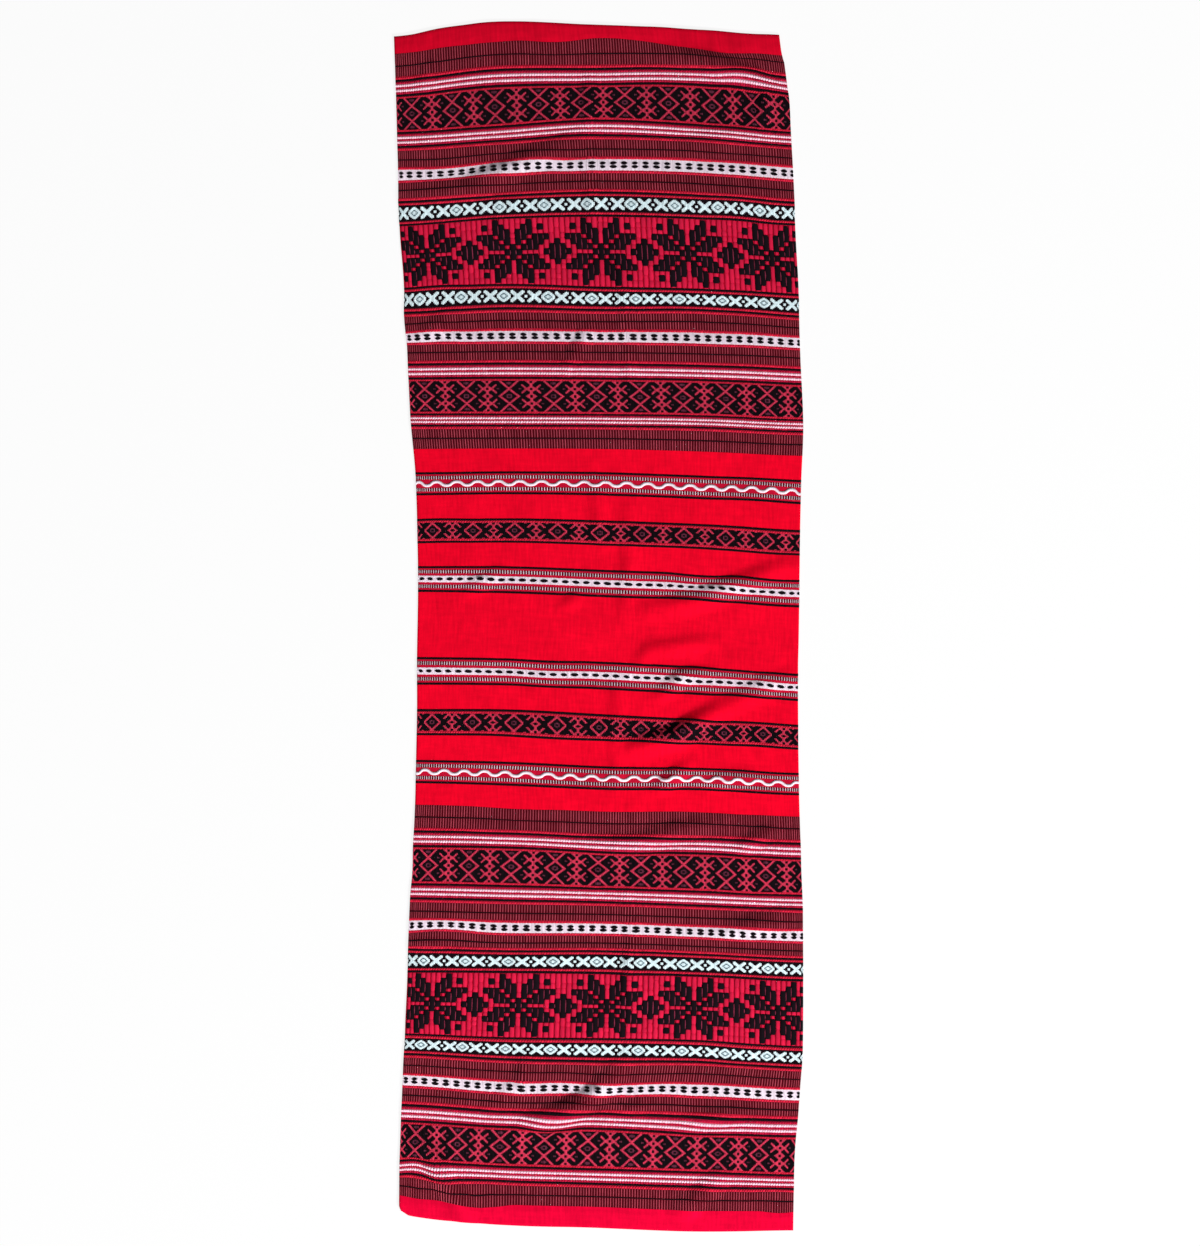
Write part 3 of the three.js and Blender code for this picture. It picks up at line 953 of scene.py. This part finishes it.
def edge_share(distance):
    """The cloth's edges are rounded: this is the share of its thickness so far in."""
    ins, shares = zip(*SELVEDGE_ROUNDING)
    return np.interp(distance / MM, ins, shares)


def ground_mesh():
    """The ground cloth in loom space, as one closed sheet, with the colour of each face."""
    across, below = ground_columns(), ground_rows()
    columns, rows = len(across), len(below)
    bands = draft()
    x, v = np.meshgrid(across, below)
    inward = np.minimum(np.minimum(x, loom_width() - x), np.minimum(v, below[-1] - v))
    hem_starts = (bands[0].end, bands[-1].start)
    hem = np.clip(np.maximum(hem_starts[0] - v, v - hem_starts[1]) / (HEM_STEP * MM), 0, 1)
    thick = (sizes().cloth + sizes().hem * hem) * edge_share(inward)
    face = np.stack([x, -v, thick], axis=-1).reshape(-1, 3)
    under = np.stack([x, -v, np.zeros_like(v)], axis=-1).reshape(-1, 3)

    corner = np.arange(rows * columns).reshape(rows, columns)
    near_left, near_right = corner[:-1, :-1], corner[:-1, 1:]
    far_left, far_right = corner[1:, :-1], corner[1:, 1:]
    top = np.stack([far_left, far_right, near_right, near_left], axis=-1).reshape(-1, 4)
    bottom = top[:, ::-1] + len(face)
    rim = np.concatenate([corner[0, :-1], corner[:-1, -1], corner[-1, :0:-1], corner[:0:-1, 0]])
    following = np.roll(rim, -1)
    sides = np.stack([following, rim, rim + len(face), following + len(face)], axis=-1)[:, ::-1]
    quads = np.concatenate([top, bottom, sides])

    mesh = bpy.data.meshes.new("woven_cloth")
    mesh.from_pydata(np.concatenate([face, under]).tolist(), [], quads.tolist())
    mesh.shade_smooth()
    paint_ground(mesh, bands)
    return mesh


def paint_ground(mesh, bands):
    """Gives each face of the ground cloth the colour of the band that it lies in."""
    centres = np.empty(len(mesh.polygons) * 3)
    mesh.polygons.foreach_get("center", centres)
    below = -centres.reshape(-1, 3)[:, 1]
    ends = np.array([band.end for band in bands])
    which = np.clip(np.searchsorted(ends, below), 0, len(bands) - 1)
    palette = np.array([getattr(colours(), GROUND_OF[band.kind])[:] for band in bands])
    corners = np.empty(len(mesh.polygons), int)
    mesh.polygons.foreach_get("loop_total", corners)
    ground = mesh.attributes.new("ground", "FLOAT_COLOR", "CORNER")
    ground.data.foreach_set("color", np.repeat(palette[which], corners, axis=0).ravel())


class RUNNER_OT_cloth(bpy.types.Operator):
    """Weave the ground cloth on its creases"""

    bl_idname = "runner.cloth"
    bl_label = "Ground cloth"

    def execute(self, context):
        mesh = ground_mesh()
        mesh.materials.append(ground_material())
        piece = lay_piece("woven_cloth", mesh, 0.0)
        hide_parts(CLOTH_NODE)
        return {"FINISHED"}


# ------------------------------------------------------------------ charted bands

REPEAT_TICKS = 16
MOTIF_TICK = 72  # a large diamond stands on this pair of yarns
SAMPLE = 0.25  # how finely a chart is read along the cloth
FEWEST_SAMPLES = 8
BLACK, RED, DULL, ICE, SLATE, NOTHING = range(6)

# The charts are drawn for a repeat and for bands of these half lengths, and stretched to fit.
HALF_REPEAT = 21.52
HALF_LATTICE = 16.2
HALF_SMALL_DIAMONDS = 8.2
HALF_BLUE = 6.3


def near(x, y, start, end):
    """Distance from each place to the stroke between two points."""
    return to_stroke(x, y, start, end)[0]


def oval(x, y, half_width, half_height):
    """1 on an oval, less inside it."""
    return np.hypot(x / half_width, y / half_height)


def diamond(x, y, half_width, half_height):
    """1 on a diamond, less inside it."""
    return x / half_width + y / half_height


def choose(shape, *rules):
    """The yarn at each place: the last rule that holds there, or black."""
    yarn = np.full(shape, BLACK)
    for holds, which in rules:
        yarn = np.where(holds, which, yarn)
    return yarn


def lattice_yarn(x, y):
    """Lattice of diamonds and branching trees, from the middle of a large diamond outwards."""
    y = y * HALF_LATTICE
    tree = HALF_REPEAT - x
    ring = oval(x, y, 2.6, 1.8)
    small_ring = oval(x, y - 13.6, 2.2, 1.2)
    red = (near(x, y, (9.4, 0), (0, 7.6)) < 0.96) | (near(x, y, (0, 7.6), (9.8, 17)) < 0.96)
    red |= near(tree, y, (4.4, 7.7), (8.6, 3.7)) < 0.88
    red |= near(tree, y, (4.4, 7.7), (8.6, 11.7)) < 0.88
    red |= (tree < 1.5) | (diamond(tree, y, 5.6, 4.1) < 1)
    red |= (diamond(tree, np.abs(y - 7.7), 6.2, 3.8) < 1) | (y > 11.3 + tree * 0.84)
    holes = (oval(tree, y, 2.0, 1.45) < 1) | (oval(tree, y - 7.7, 2.0, 1.3) < 1)
    holes |= oval(tree, y - 14.8, 2.0, 1.1) < 1
    return choose(
        x.shape,
        ((ring < 1.3) & (ring > 0.5), DULL),
        ((small_ring < 1.2) & (small_ring > 0.3), DULL),
        (oval(x - 10.5, y - 7.8, 1.3, 0.9) < 1, DULL),
        (red, RED),
        (holes, BLACK),
    )


def small_diamond_yarn(x, y):
    """Small diamonds between trees whose arms point inwards."""
    y = y * HALF_SMALL_DIAMONDS
    tree = HALF_REPEAT - x
    ring = oval(x, y, 2.3, 1.7)
    red = (near(x, y, (9.1, 0), (0, 7.4)) < 0.94) | (oval(x, y - 8.4, 2.6, 1.5) < 1)
    red |= near(tree, y, (4.2, 7.2), (8.0, 3.7)) < 0.86
    red |= (tree < 1.4) | (diamond(tree, y, 5.5, 3.8) < 1)
    red |= (diamond(tree, np.abs(y - 7.5), 6.0, 3.4) < 1) | (oval(x - 10.8, y - 8.8, 2.0, 1.5) < 1)
    holes = (oval(tree, y, 2.2, 1.3) < 1) | (oval(tree, y - 7.2, 2.0, 1.15) < 1)
    return choose(
        x.shape,
        ((ring < 1.3) & (ring > 0.5), DULL),
        (red, RED),
        (holes, BLACK),
    )


def blue_yarn(x, y):
    """Pale blue diamonds, crosses and dots; the black between them is the ground."""
    y = y * HALF_BLUE
    tree = HALF_REPEAT - x
    rounded = (x / 7.2) ** 1.3 + (y / 6.2) ** 1.3
    ring = diamond(x, y, 4.0, 3.4)
    cross_left = near(x, y, (13.3, 0), (8.2, 4.5)) < 1.75
    cross_right = near(x, y, (13.3, 0), (18.3, 4.5)) < 1.75
    return choose(
        x.shape,
        (np.ones(x.shape, bool), NOTHING),
        (rounded < 1, ICE),
        ((ring < 1.06) & (ring > 0.66), SLATE),
        (cross_left | cross_right, ICE),
        (oval(tree, y, 2.0, 1.4) < 1, ICE),
    )


def chart(bands, yarn_at):
    """Reads a motif off yarn by yarn: for each half tick across a band, the stretches along it
    in which one yarn shows. Gives {yarn: [(across, start, end), ...]}."""
    half = sizes().tick / 2
    across = (np.arange(2 * sizes().ticks) + 0.5) * half
    repeat = REPEAT_TICKS * sizes().tick
    off = across - MOTIF_TICK * sizes().tick
    from_motif = np.abs((off + repeat / 2) % repeat - repeat / 2)
    runs = {}
    for band in bands:
        count = max(FEWEST_SAMPLES, round(band.length / (SAMPLE * MM)))
        below = band.start + (np.arange(count) + 0.5) * band.length / count
        off_middle = np.abs(below - band.middle) / (band.length / 2)
        x, y = np.meshgrid(from_motif / MM * HALF_REPEAT / (repeat / MM / 2), off_middle)
        yarns = yarn_at(x, y)
        step = band.length / count
        for column, at in zip(yarns.T, across):
            breaks = [0, *np.flatnonzero(np.diff(column)) + 1, count]
            for start, end in zip(breaks[:-1], breaks[1:]):
                run = (at, band.start + start * step, band.start + end * step)
                runs.setdefault(int(column[start]), []).append(run)
    return runs


FLOAT_GAP = 0.06  # millimetres left at each end of a float


def charted_piece(name, runs, material, rise, seed, width_share=1.0, painted_light_widening=0.0):
    """A piece from the stretches of one yarn in a chart. The yarn may lie so much wider towards
    the lower hem, as painted light that brightens the lower bands the way the stronger light there
    does."""
    half = sizes().tick / 2
    gap = FLOAT_GAP * MM
    runs = [(x, a + gap, b - gap) for x, a, b in runs if b - a > 3 * gap]
    paths = [upright(*run) for run in runs]
    widths = [half * width_share * (1 + painted_light_widening * a / (CLOTH_LENGTH * MM)) for _, a, _ in runs]
    return make_floats(name, paths, widths, material, rise, step=2.2, rings=2, round_end=0.3,
                       end_share=0.86, seed=seed)


def weave_lattice(kind, yarn_at, name, word, seed, painted_light_widening):
    """The pieces of a charted band in black floats, crimson ones and small dull marks. The crimson
    stands a little prouder, and lies so much wider towards the lower hem as painted light."""
    runs = chart(bands_of(kind), yarn_at)
    rise = sizes().float_rise
    black = yarn_material(f"black {word} yarn", colours().black, 0.5)
    charted_piece(f"{name}_black", runs[BLACK], black, rise, seed, 1.06)
    crimson = yarn_material(f"crimson {word} yarn", colours().lattice, 0.3)
    charted_piece(f"{name}_crimson", runs[RED], crimson, rise * 1.1, seed + 1, 1.2, painted_light_widening)
    dull = yarn_material(f"dull {word} yarn", colours().dull, 0.6)
    charted_piece(f"{name}_marks", runs[DULL], dull, rise, seed + 2)


class RUNNER_OT_lattice(bpy.types.Operator):
    """Weave the lattice bands in black and crimson floats"""

    bl_idname = "runner.lattice"
    bl_label = "Lattice bands"

    def execute(self, context):
        # the last number widens the crimson towards the lower hem, as painted light
        weave_lattice("lattice", lattice_yarn, "lattice", "lattice", 11, 0.4)
        return {"FINISHED"}


class RUNNER_OT_small_diamonds(bpy.types.Operator):
    """Weave the bands of small diamonds"""

    bl_idname = "runner.small_diamonds"
    bl_label = "Small diamonds"

    def execute(self, context):
        # the last number widens the crimson towards the lower hem, as painted light
        weave_lattice("small diamonds", small_diamond_yarn, "small_diamonds", "diamond", 21, 0.1)
        return {"FINISHED"}


class RUNNER_OT_blue(bpy.types.Operator):
    """Weave the pale blue crosses and diamonds"""

    bl_idname = "runner.blue"
    bl_label = "Pale blue bands"

    def execute(self, context):
        runs = chart(bands_of("blue"), blue_yarn)
        rise = sizes().bar_rise
        ice = yarn_material("pale blue yarn", colours().ice, 0.12)
        charted_piece("blue_motifs", runs[ICE], ice, rise, 31, 1.4)
        slate = yarn_material("slate yarn", colours().slate, 0.3)
        charted_piece("blue_rings", runs[SLATE], slate, rise * 0.8, 32, 1.06)
        return {"FINISHED"}


# ------------------------------------------------------------------ star bands

STAR_ROWS = 13
STAR_SPARE = 0.6  # rows of plain scarlet left over at a band's two edges together
STAR_REPEAT = 16
STAR_TICK = 76  # the star's middle column stands on this pair of yarns
BAR_TICKS = 2
BLACK_BAR = 6.4  # millimetres across a black bar among others, and how much a free one swells
BLACK_SWELL = 0.3
BLACK_OVER = 0.85  # how far a black bar swells past its own rows
SCARLET_BAR = 5.1
SCARLET_SPOT = 3.2  # and where it shows for one row only, shut in by black
SCARLET_ROWS = (1, 2, 2, 3)  # how many rows a scarlet bar may be long
SCARLET_WHOLE = 1.6  # a stretch of no more rows than this stays whole
SCARLET_REST = 0.6  # no shorter rest is cut off
SCARLET_LEAST = 0.15  # and nothing shorter than this is made
BAR_MARGIN = 0.3  # a bar keeps this share of the pitch off the selvedges
BAR_GAP = 0.1  # left at each end of a bar
BAR_VARIETY = (0.95, 1.04)  # how unequal the bars' widths are
TIE_WIDTH = 1.3
TIE_INSET = 0.1  # the share of a row left at each end of a tie
# Black rows of each column from the star's middle outwards, first and last row of each bar.
STAR_CHART = (
    ((6, 8),),
    ((3, 5), (7, 7), (9, 11)),
    ((2, 4), (6, 6), (8, 8), (10, 12)),
    ((1, 3), (5, 6), (8, 9), (11, 13)),
    ((4, 6), (8, 10)),
    ((2, 2), (4, 5), (9, 10), (12, 12)),
    ((4, 4), (7, 7), (10, 10)),
    ((6, 8),),
    ((5, 9),),
)


def chart_column(column):
    return STAR_CHART[min(column % STAR_REPEAT, -column % STAR_REPEAT)]


def freedom(column, top, bottom):
    """The share of a bar's two sides along which no other black bar lies."""
    held = 0
    for beside in (column - 1, column + 1):
        for first, last in chart_column(beside):
            held += max(0, min(bottom, last) - max(top, first) + 1)
    return 1 - held / (2 * (bottom - top + 1))


def star_rows(band):
    """How long one row of a star band is, and where the first one starts."""
    row = band.length / (STAR_ROWS + STAR_SPARE)
    return row, band.middle - STAR_ROWS * row / 2


def star_bars(rng):
    """The upright bars of the star bands: (across, start, end, width) of black and scarlet."""
    black, scarlet = [], []
    tick = sizes().tick
    pitch = BAR_TICKS * tick
    margin = BAR_MARGIN * pitch
    for band in bands_of("stars"):
        row, first_row = star_rows(band)
        columns = range(-math.ceil(STAR_TICK / BAR_TICKS), math.ceil(sizes().ticks / BAR_TICKS))
        for column in columns:
            across = STAR_TICK * tick + column * pitch
            if not margin < across < loom_width() - margin:
                continue
            upto, above = band.start, 0
            for top, bottom in chart_column(column):
                start = first_row + (top - 1) * row
                end = first_row + bottom * row
                shut_in = top - above == 2 and freedom(column, top - 1, top - 1) == 0
                spot = SCARLET_SPOT if shut_in else SCARLET_BAR
                scarlet.extend(broken(across, upto, start, spot * MM, row, rng))
                width = BLACK_BAR + BLACK_SWELL * freedom(column, top, bottom)
                over = BLACK_OVER * MM
                black.append((across, start - over, end + over, width * MM))
                upto, above = end, bottom
            scarlet.extend(broken(across, upto, band.end, SCARLET_BAR * MM, row, rng))
    return black, scarlet


def star_ties():
    """The dull ground yarns that show as thin lines between black bars side by side."""
    ties = []
    tick = sizes().tick
    for band in bands_of("stars"):
        row, first_row = star_rows(band)
        last = math.ceil((sizes().ticks - STAR_TICK) / BAR_TICKS) - 1
        for column in range(-math.ceil(STAR_TICK / BAR_TICKS) + 1, last):
            across = (STAR_TICK + (column + 0.5) * BAR_TICKS) * tick
            for top, bottom in chart_column(column):
                for first, end in chart_column(column + 1):
                    both = max(top, first), min(bottom, end)
                    if both[0] <= both[1]:
                        ties.append(upright(
                            across, first_row + (both[0] - 1 + TIE_INSET) * row,
                            first_row + (both[1] - TIE_INSET) * row))
    return ties


def broken(across, start, end, width, row, rng):
    """A scarlet stretch is caught down here and there, so it shows as several shorter bars."""
    pieces = []
    while end - start > SCARLET_WHOLE * row:
        length = row * rng.choice(SCARLET_ROWS)
        if end - start - length < SCARLET_REST * row:
            break
        pieces.append((across, start, start + length, width))
        start += length
    if end - start > SCARLET_LEAST * row:
        pieces.append((across, start, end, width))
    return pieces


class RUNNER_OT_stars(bpy.types.Operator):
    """Weave the star bands in thick upright bars"""

    bl_idname = "runner.stars"
    bl_label = "Star bands"

    def execute(self, context):
        rng = np.random.default_rng(7)
        black, scarlet = star_bars(rng)
        gap = BAR_GAP * MM
        dark = yarn_material("black bar yarn", colours().black, 0.35, 0.03)
        bright = yarn_material("scarlet bar yarn", colours().scarlet, 0.25)
        rise = sizes().bar_rise
        for name, bars, material, stand, sides, seed in (
                ("star_bars_black", black, dark, rise, 8, 41),
                ("star_bars_scarlet", scarlet, bright, rise * 0.6, 6, 42)):
            paths = [upright(x, a + gap, b - gap) for x, a, b, _ in bars]
            widths = [width * rng.uniform(*BAR_VARIETY) for *_, width in bars]
            make_floats(name, paths, widths, material, stand, sides=sides, step=2.6, rings=5,
                        round_end=1.2, end_share=0.78, seed=seed)
        ties = star_ties()
        dull = yarn_material("tie yarn", colours().tie, 0.7)
        make_floats("star_ties", ties, [TIE_WIDTH * MM] * len(ties), dull, rise * 0.35,
                    step=3.0, seed=43, over=rise * 0.7)
        return {"FINISHED"}


# ------------------------------------------------------------------ lines, ropes and ribs

LINE_SPREAD = 1.3  # how much wider than its band a line's stitches lie
BLACK_SPREAD = 1.12


class RUNNER_OT_lines(bpy.types.Operator):
    """Stitch the narrow black and red lines"""

    bl_idname = "runner.lines"
    bl_label = "Narrow lines"

    def execute(self, context):
        rise = sizes().line_rise
        for name, kind, colour, stand, spread, seed in (
                ("black_lines", "black", colours().black, rise * 1.5, BLACK_SPREAD, 51),
                ("crimson_lines", "red", colours().crimson, rise, LINE_SPREAD, 52),
                ("bed_lines", "bed", colours().bed, rise, LINE_SPREAD, 54)):
            yarn = yarn_material(name.replace("_", " "), colour, 0.35, 0.03)
            make_stitches(name, kind, yarn, stand, spread, 4.4, 0.5, seed)
        return {"FINISHED"}


class RUNNER_OT_ropes(bpy.types.Operator):
    """Lay the pinkish white rope stripes"""

    bl_idname = "runner.ropes"
    bl_label = "Rope stripes"

    def execute(self, context):
        yarn = yarn_material("rope yarn", colours().pink, 0.16)
        make_stitches("rope_stripes", "rope", yarn, sizes().bar_rise, LINE_SPREAD, 4.3, 0.6, 53)
        return {"FINISHED"}


# How far down each ribbed band its thin black line runs, from the upper hem to the lower one.
RIB_LINE_SHARES = (0.57, 0.57, 0.51, 0.51, 0.49, 0.47, 0.53, 0.56, 0.6, 0.51, 0.55, 0.47)
RIB_LINE_WIDTH = 1.1
RIB_LINE_INSET = 0.4  # left at each selvedge
RIB_GAP = 0.2  # left at each end of a rib's tick
RIB_FILL = 0.48  # a rib's width as a share of a pair of yarns
RIB_VARIETY = (0.9, 1.08)  # how unequal their widths are


class RUNNER_OT_ribs(bpy.types.Operator):
    """Weave the dark ribbed bands, with the thin black line through each"""

    bl_idname = "runner.ribs"
    bl_label = "Ribbed bands"

    def execute(self, context):
        rng = np.random.default_rng(17)
        tick = sizes().tick
        paths, lines = [], []
        half_line = RIB_LINE_WIDTH * MM / 2
        for band, share in zip(bands_of("ribs"), RIB_LINE_SHARES, strict=True):
            line = band.start + band.length * share
            lines.append(crosswise(line, RIB_LINE_INSET * MM))
            for k in range(sizes().ticks):
                across = (k + 0.5) * tick
                for start, end in ((band.start, line - half_line), (line + half_line, band.end)):
                    paths.append(upright(across, start + RIB_GAP * MM, end - RIB_GAP * MM))
        widths = tick * RIB_FILL * rng.uniform(*RIB_VARIETY, len(paths))
        rib = yarn_material("rib yarn", colours().rib, 0.5)
        make_floats("rib_ticks", paths, widths, rib, sizes().line_rise, step=2.2,
                    round_end=0.3, end_share=0.85, seed=61)
        dark = yarn_material("thin black line", colours().black, 0.3)
        make_floats("rib_lines", lines, [RIB_LINE_WIDTH * MM] * len(lines), dark,
                    sizes().line_rise, step=3.0, seed=62)
        return {"FINISHED"}


# ------------------------------------------------------------------ dashes, beads and waves

# Half a dash's length where the dashes lie in two rows, and where they lie in one like beads.
DASH_REACH = 3.4
BEAD_REACH = 3.8
DASH_WIDTH = 3.2
DASH_VARIETY = (0.9, 1.1)  # how unequal the dashes' lengths are
DASH_TILT = 0.35  # how far a dash's ends may rise or sink
DASH_ROW = 0.165  # each of the two rows is this share of the band off its middle
# The pair of yarns on which a dash stands, in the bands of two rows and in those like beads.
DASH_TICK = 70.3
BEAD_TICK = 70.8
DASH_PITCH_TICKS = 4
WHITE_RAGGED = 0.25  # how far the white yarns may slip along the cloth


def places(first_tick, pitch_ticks):
    """Where across the cloth something stands that repeats every so many ticks."""
    start = first_tick % pitch_ticks
    return np.arange(start, sizes().ticks, pitch_ticks) * sizes().tick


class RUNNER_OT_dashes(bpy.types.Operator):
    """Weave the white bands with their rows of black dashes"""

    bl_idname = "runner.dashes"
    bl_label = "White dash bands"

    def execute(self, context):
        rng = np.random.default_rng(23)
        half = sizes().tick / 2
        rise = sizes().line_rise
        whites, dashes = [], []
        for band in bands_of("dashes", "beads"):
            double = band.kind == "dashes"
            rows = (-DASH_ROW * band.length, DASH_ROW * band.length) if double else (0.0,)
            first, whole = (DASH_TICK, DASH_REACH) if double else (BEAD_TICK, BEAD_REACH)
            for k in range(2 * sizes().ticks):
                ragged = rng.uniform(-WHITE_RAGGED, WHITE_RAGGED) * MM
                whites.append(upright((k + 0.5) * half, band.start + ragged, band.end + ragged))
            for row in rows:
                for across in places(first, DASH_PITCH_TICKS):
                    reach = whole * MM * rng.uniform(*DASH_VARIETY)
                    tilt = rng.uniform(-DASH_TILT, DASH_TILT) * MM
                    below = band.middle + row
                    dashes.append(((across - reach, -below - tilt), (across, -below),
                                   (across + reach, -below + tilt)))
        white = yarn_material("white band yarn", colours().white, 0.12)
        make_floats("white_bands", whites, [half * 1.05] * len(whites), white, rise,
                    step=2.2, end_share=0.8, seed=71)
        black = yarn_material("dash yarn", colours().black, 0.3)
        make_floats("black_dashes", dashes, [DASH_WIDTH * MM] * len(dashes), black, rise,
                    sides=6, step=1.0, rings=7, round_end=DASH_REACH, end_share=0.1,
                    pointedness=0.8, seed=72, over=rise * 1.1)
        return {"FINISHED"}


WAVE_PITCH_TICKS = 8
WAVE_CRESTS = (74.2, 69.4)  # the pair of yarns where the wave of each wave band crests
WAVE_REACH = 1.9
WAVE_FLATNESS = 1.3  # how flat the crests are: none for a plain sine
WAVE_WIDTH = 3.1
WAVE_INSET = 0.3  # left at each selvedge
WAVE_SAMPLES = 24  # in each repeat
WHITE_TICK_SHARE = 0.36  # of a pair of yarns
DARK_TICK_SHARE = 0.5


class RUNNER_OT_waves(bpy.types.Operator):
    """Weave the white waves and the rows of white and dark ticks"""

    bl_idname = "runner.waves"
    bl_label = "Waves and ticks"

    def execute(self, context):
        tick = sizes().tick
        waves = []
        inset = WAVE_INSET * MM
        for band, crest in zip(bands_of("wave"), WAVE_CRESTS):
            across = np.linspace(inset, loom_width() - inset,
                                 WAVE_SAMPLES * sizes().ticks // WAVE_PITCH_TICKS)
            turn = 2 * np.pi * (across / tick - crest) / WAVE_PITCH_TICKS
            swing = np.tanh(WAVE_FLATNESS * np.cos(turn)) / np.tanh(WAVE_FLATNESS)
            waves.append(np.c_[across, -band.middle + WAVE_REACH * MM * swing])
        white = yarn_material("wave yarn", colours().white, 0.1)
        make_floats("white_waves", waves, [WAVE_WIDTH * MM] * len(waves), white,
                    sizes().bar_rise, sides=8, step=0.9, seed=81)
        whites, darks = [], []
        for band in bands_of("ticks"):
            for k in range(sizes().ticks):
                whites.append(upright((k + 0.25) * tick, band.start, band.end))
                darks.append(upright((k + 0.75) * tick, band.start, band.end))
        for name, paths, colour, share, seed in (
                ("white_ticks", whites, colours().white, WHITE_TICK_SHARE, 82),
                ("dark_ticks", darks, colours().dusk, DARK_TICK_SHARE, 83)):
            yarn = yarn_material(name.replace("_", " "), colour, 0.3)
            make_floats(name, paths, [tick * share] * len(paths), yarn, sizes().line_rise,
                        step=1.8, round_end=0.5, end_share=0.7, seed=seed)
        return {"FINISHED"}


# ------------------------------------------------------------------ stage

CAMERA_SENSOR = 36.0  # its width in millimetres
VIEW_HEIGHT = 1.246  # what the camera takes in from top to bottom, in metres, and its middle
VIEW_MIDDLE = (0.002, 0.0035)
FLOOR_REACH = 6.0
FLOOR_DROP = 0.5 * MM  # how far the floor is under the cloth
FLOOR_GREY = 0.9
PLAIN_WHITE = {"Color": (1, 1, 1, 1), "Strength": 1.0}


def mix_for_camera(tree, plain, bright, share=1.0):
    """A shader that shows the camera so much of a bright one, and lights all else plainly."""
    seen = add_node(tree, "ShaderNodeLightPath").outputs["Is Camera Ray"]
    return add_node(tree, "ShaderNodeMixShader", {
        0: maths(tree, "MULTIPLY", seen, share), 1: plain.outputs[0],
        2: bright.outputs[0]}).outputs[0]


def make_floor(settings):
    mesh = bpy.data.meshes.new("floor")
    corners = ((-1, -1), (1, -1), (1, 1), (-1, 1))
    mesh.from_pydata([(x * FLOOR_REACH, y * FLOOR_REACH, -FLOOR_DROP) for x, y in corners],
                     [], [(0, 1, 2, 3)])
    material, tree = new_material("pale floor")
    plain = add_node(tree, "ShaderNodeBsdfDiffuse", {"Color": (*[FLOOR_GREY] * 3, 1.0)})
    glow = add_node(tree, "ShaderNodeEmission", PLAIN_WHITE)
    add_node(tree, "ShaderNodeOutputMaterial",
             {"Surface": mix_for_camera(tree, plain, glow, settings.floor_glow)})
    mesh.materials.append(material)
    floor = bpy.data.objects.new("floor", mesh)
    bpy.context.scene.collection.objects.link(floor)


def make_world(settings):
    world = bpy.data.worlds.new("studio")
    world.use_nodes = True
    tree = world.node_tree
    tree.nodes.clear()
    light = add_node(tree, "ShaderNodeBackground", {**PLAIN_WHITE, "Strength": settings.sky})
    backdrop = add_node(tree, "ShaderNodeBackground", PLAIN_WHITE)
    add_node(tree, "ShaderNodeOutputWorld", {"Surface": mix_for_camera(tree, light, backdrop)})
    bpy.context.scene.world = world


def aim(thing, target):
    towards = Vector(target) - thing.location
    thing.rotation_euler = towards.to_track_quat("-Z", "Y").to_euler()


def make_lamp(settings):
    data = bpy.data.lights.new("soft lamp", "AREA")
    data.size = settings.lamp_size
    data.energy = settings.lamp_power
    lamp = bpy.data.objects.new("soft lamp", data)
    lamp.location = settings.lamp_place
    aim(lamp, (0, 0, 0))
    bpy.context.scene.collection.objects.link(lamp)


def make_camera(settings):
    data = bpy.data.cameras.new("camera")
    data.lens = settings.lens
    data.sensor_width = CAMERA_SENSOR
    camera = bpy.data.objects.new("camera", data)
    away = VIEW_HEIGHT * settings.lens / CAMERA_SENSOR
    camera.location = (*VIEW_MIDDLE, away)
    bpy.context.scene.collection.objects.link(camera)
    bpy.context.scene.camera = camera


class RUNNER_OT_stage(bpy.types.Operator):
    """Set up the floor, the soft lamp, the sky and the camera"""

    bl_idname = "runner.stage"
    bl_label = "Stage"

    def execute(self, context):
        settings = context.scene.runner_stage
        make_floor(settings)
        make_world(settings)
        make_lamp(settings)
        make_camera(settings)
        context.scene.view_settings.view_transform = "Standard"
        return {"FINISHED"}


# ------------------------------------------------------------------ add-on

OPERATORS = (
    RUNNER_OT_stage, RUNNER_OT_cloth, RUNNER_OT_stars, RUNNER_OT_lattice,
    RUNNER_OT_small_diamonds, RUNNER_OT_blue, RUNNER_OT_lines, RUNNER_OT_ropes,
    RUNNER_OT_ribs, RUNNER_OT_dashes, RUNNER_OT_waves,
)


class RUNNER_PT_panel(bpy.types.Panel):
    """Lists the parts of the runner in the order in which they are made"""

    bl_idname = "RUNNER_PT_panel"
    bl_label = "Table runner"
    bl_space_type = "VIEW_3D"
    bl_region_type = "UI"
    bl_category = "Runner"

    def draw(self, context):
        for group in ("runner_sizes", "runner_colours", "runner_stage"):
            settings = getattr(context.scene, group)
            box = self.layout.box()
            for name in settings.__annotations__:
                box.prop(settings, name)
        for operator in OPERATORS:
            self.layout.operator(operator.bl_idname)


GROUPS = {"runner_sizes": RunnerSizes, "runner_colours": RunnerColours,
          "runner_stage": StageSettings}
CLASSES = (*GROUPS.values(), *OPERATORS, RUNNER_PT_panel)


def register():
    for cls in CLASSES:
        bpy.utils.register_class(cls)
    for name, group in GROUPS.items():
        setattr(bpy.types.Scene, name, bpy.props.PointerProperty(type=group))


def unregister():
    for name in GROUPS:
        delattr(bpy.types.Scene, name)
    for cls in reversed(CLASSES):
        bpy.utils.unregister_class(cls)


def main():
    register()
    for operator in OPERATORS:
        area, name = operator.bl_idname.split(".")
        getattr(getattr(bpy.ops, area), name)()


if __name__ == "__main__":
    main()
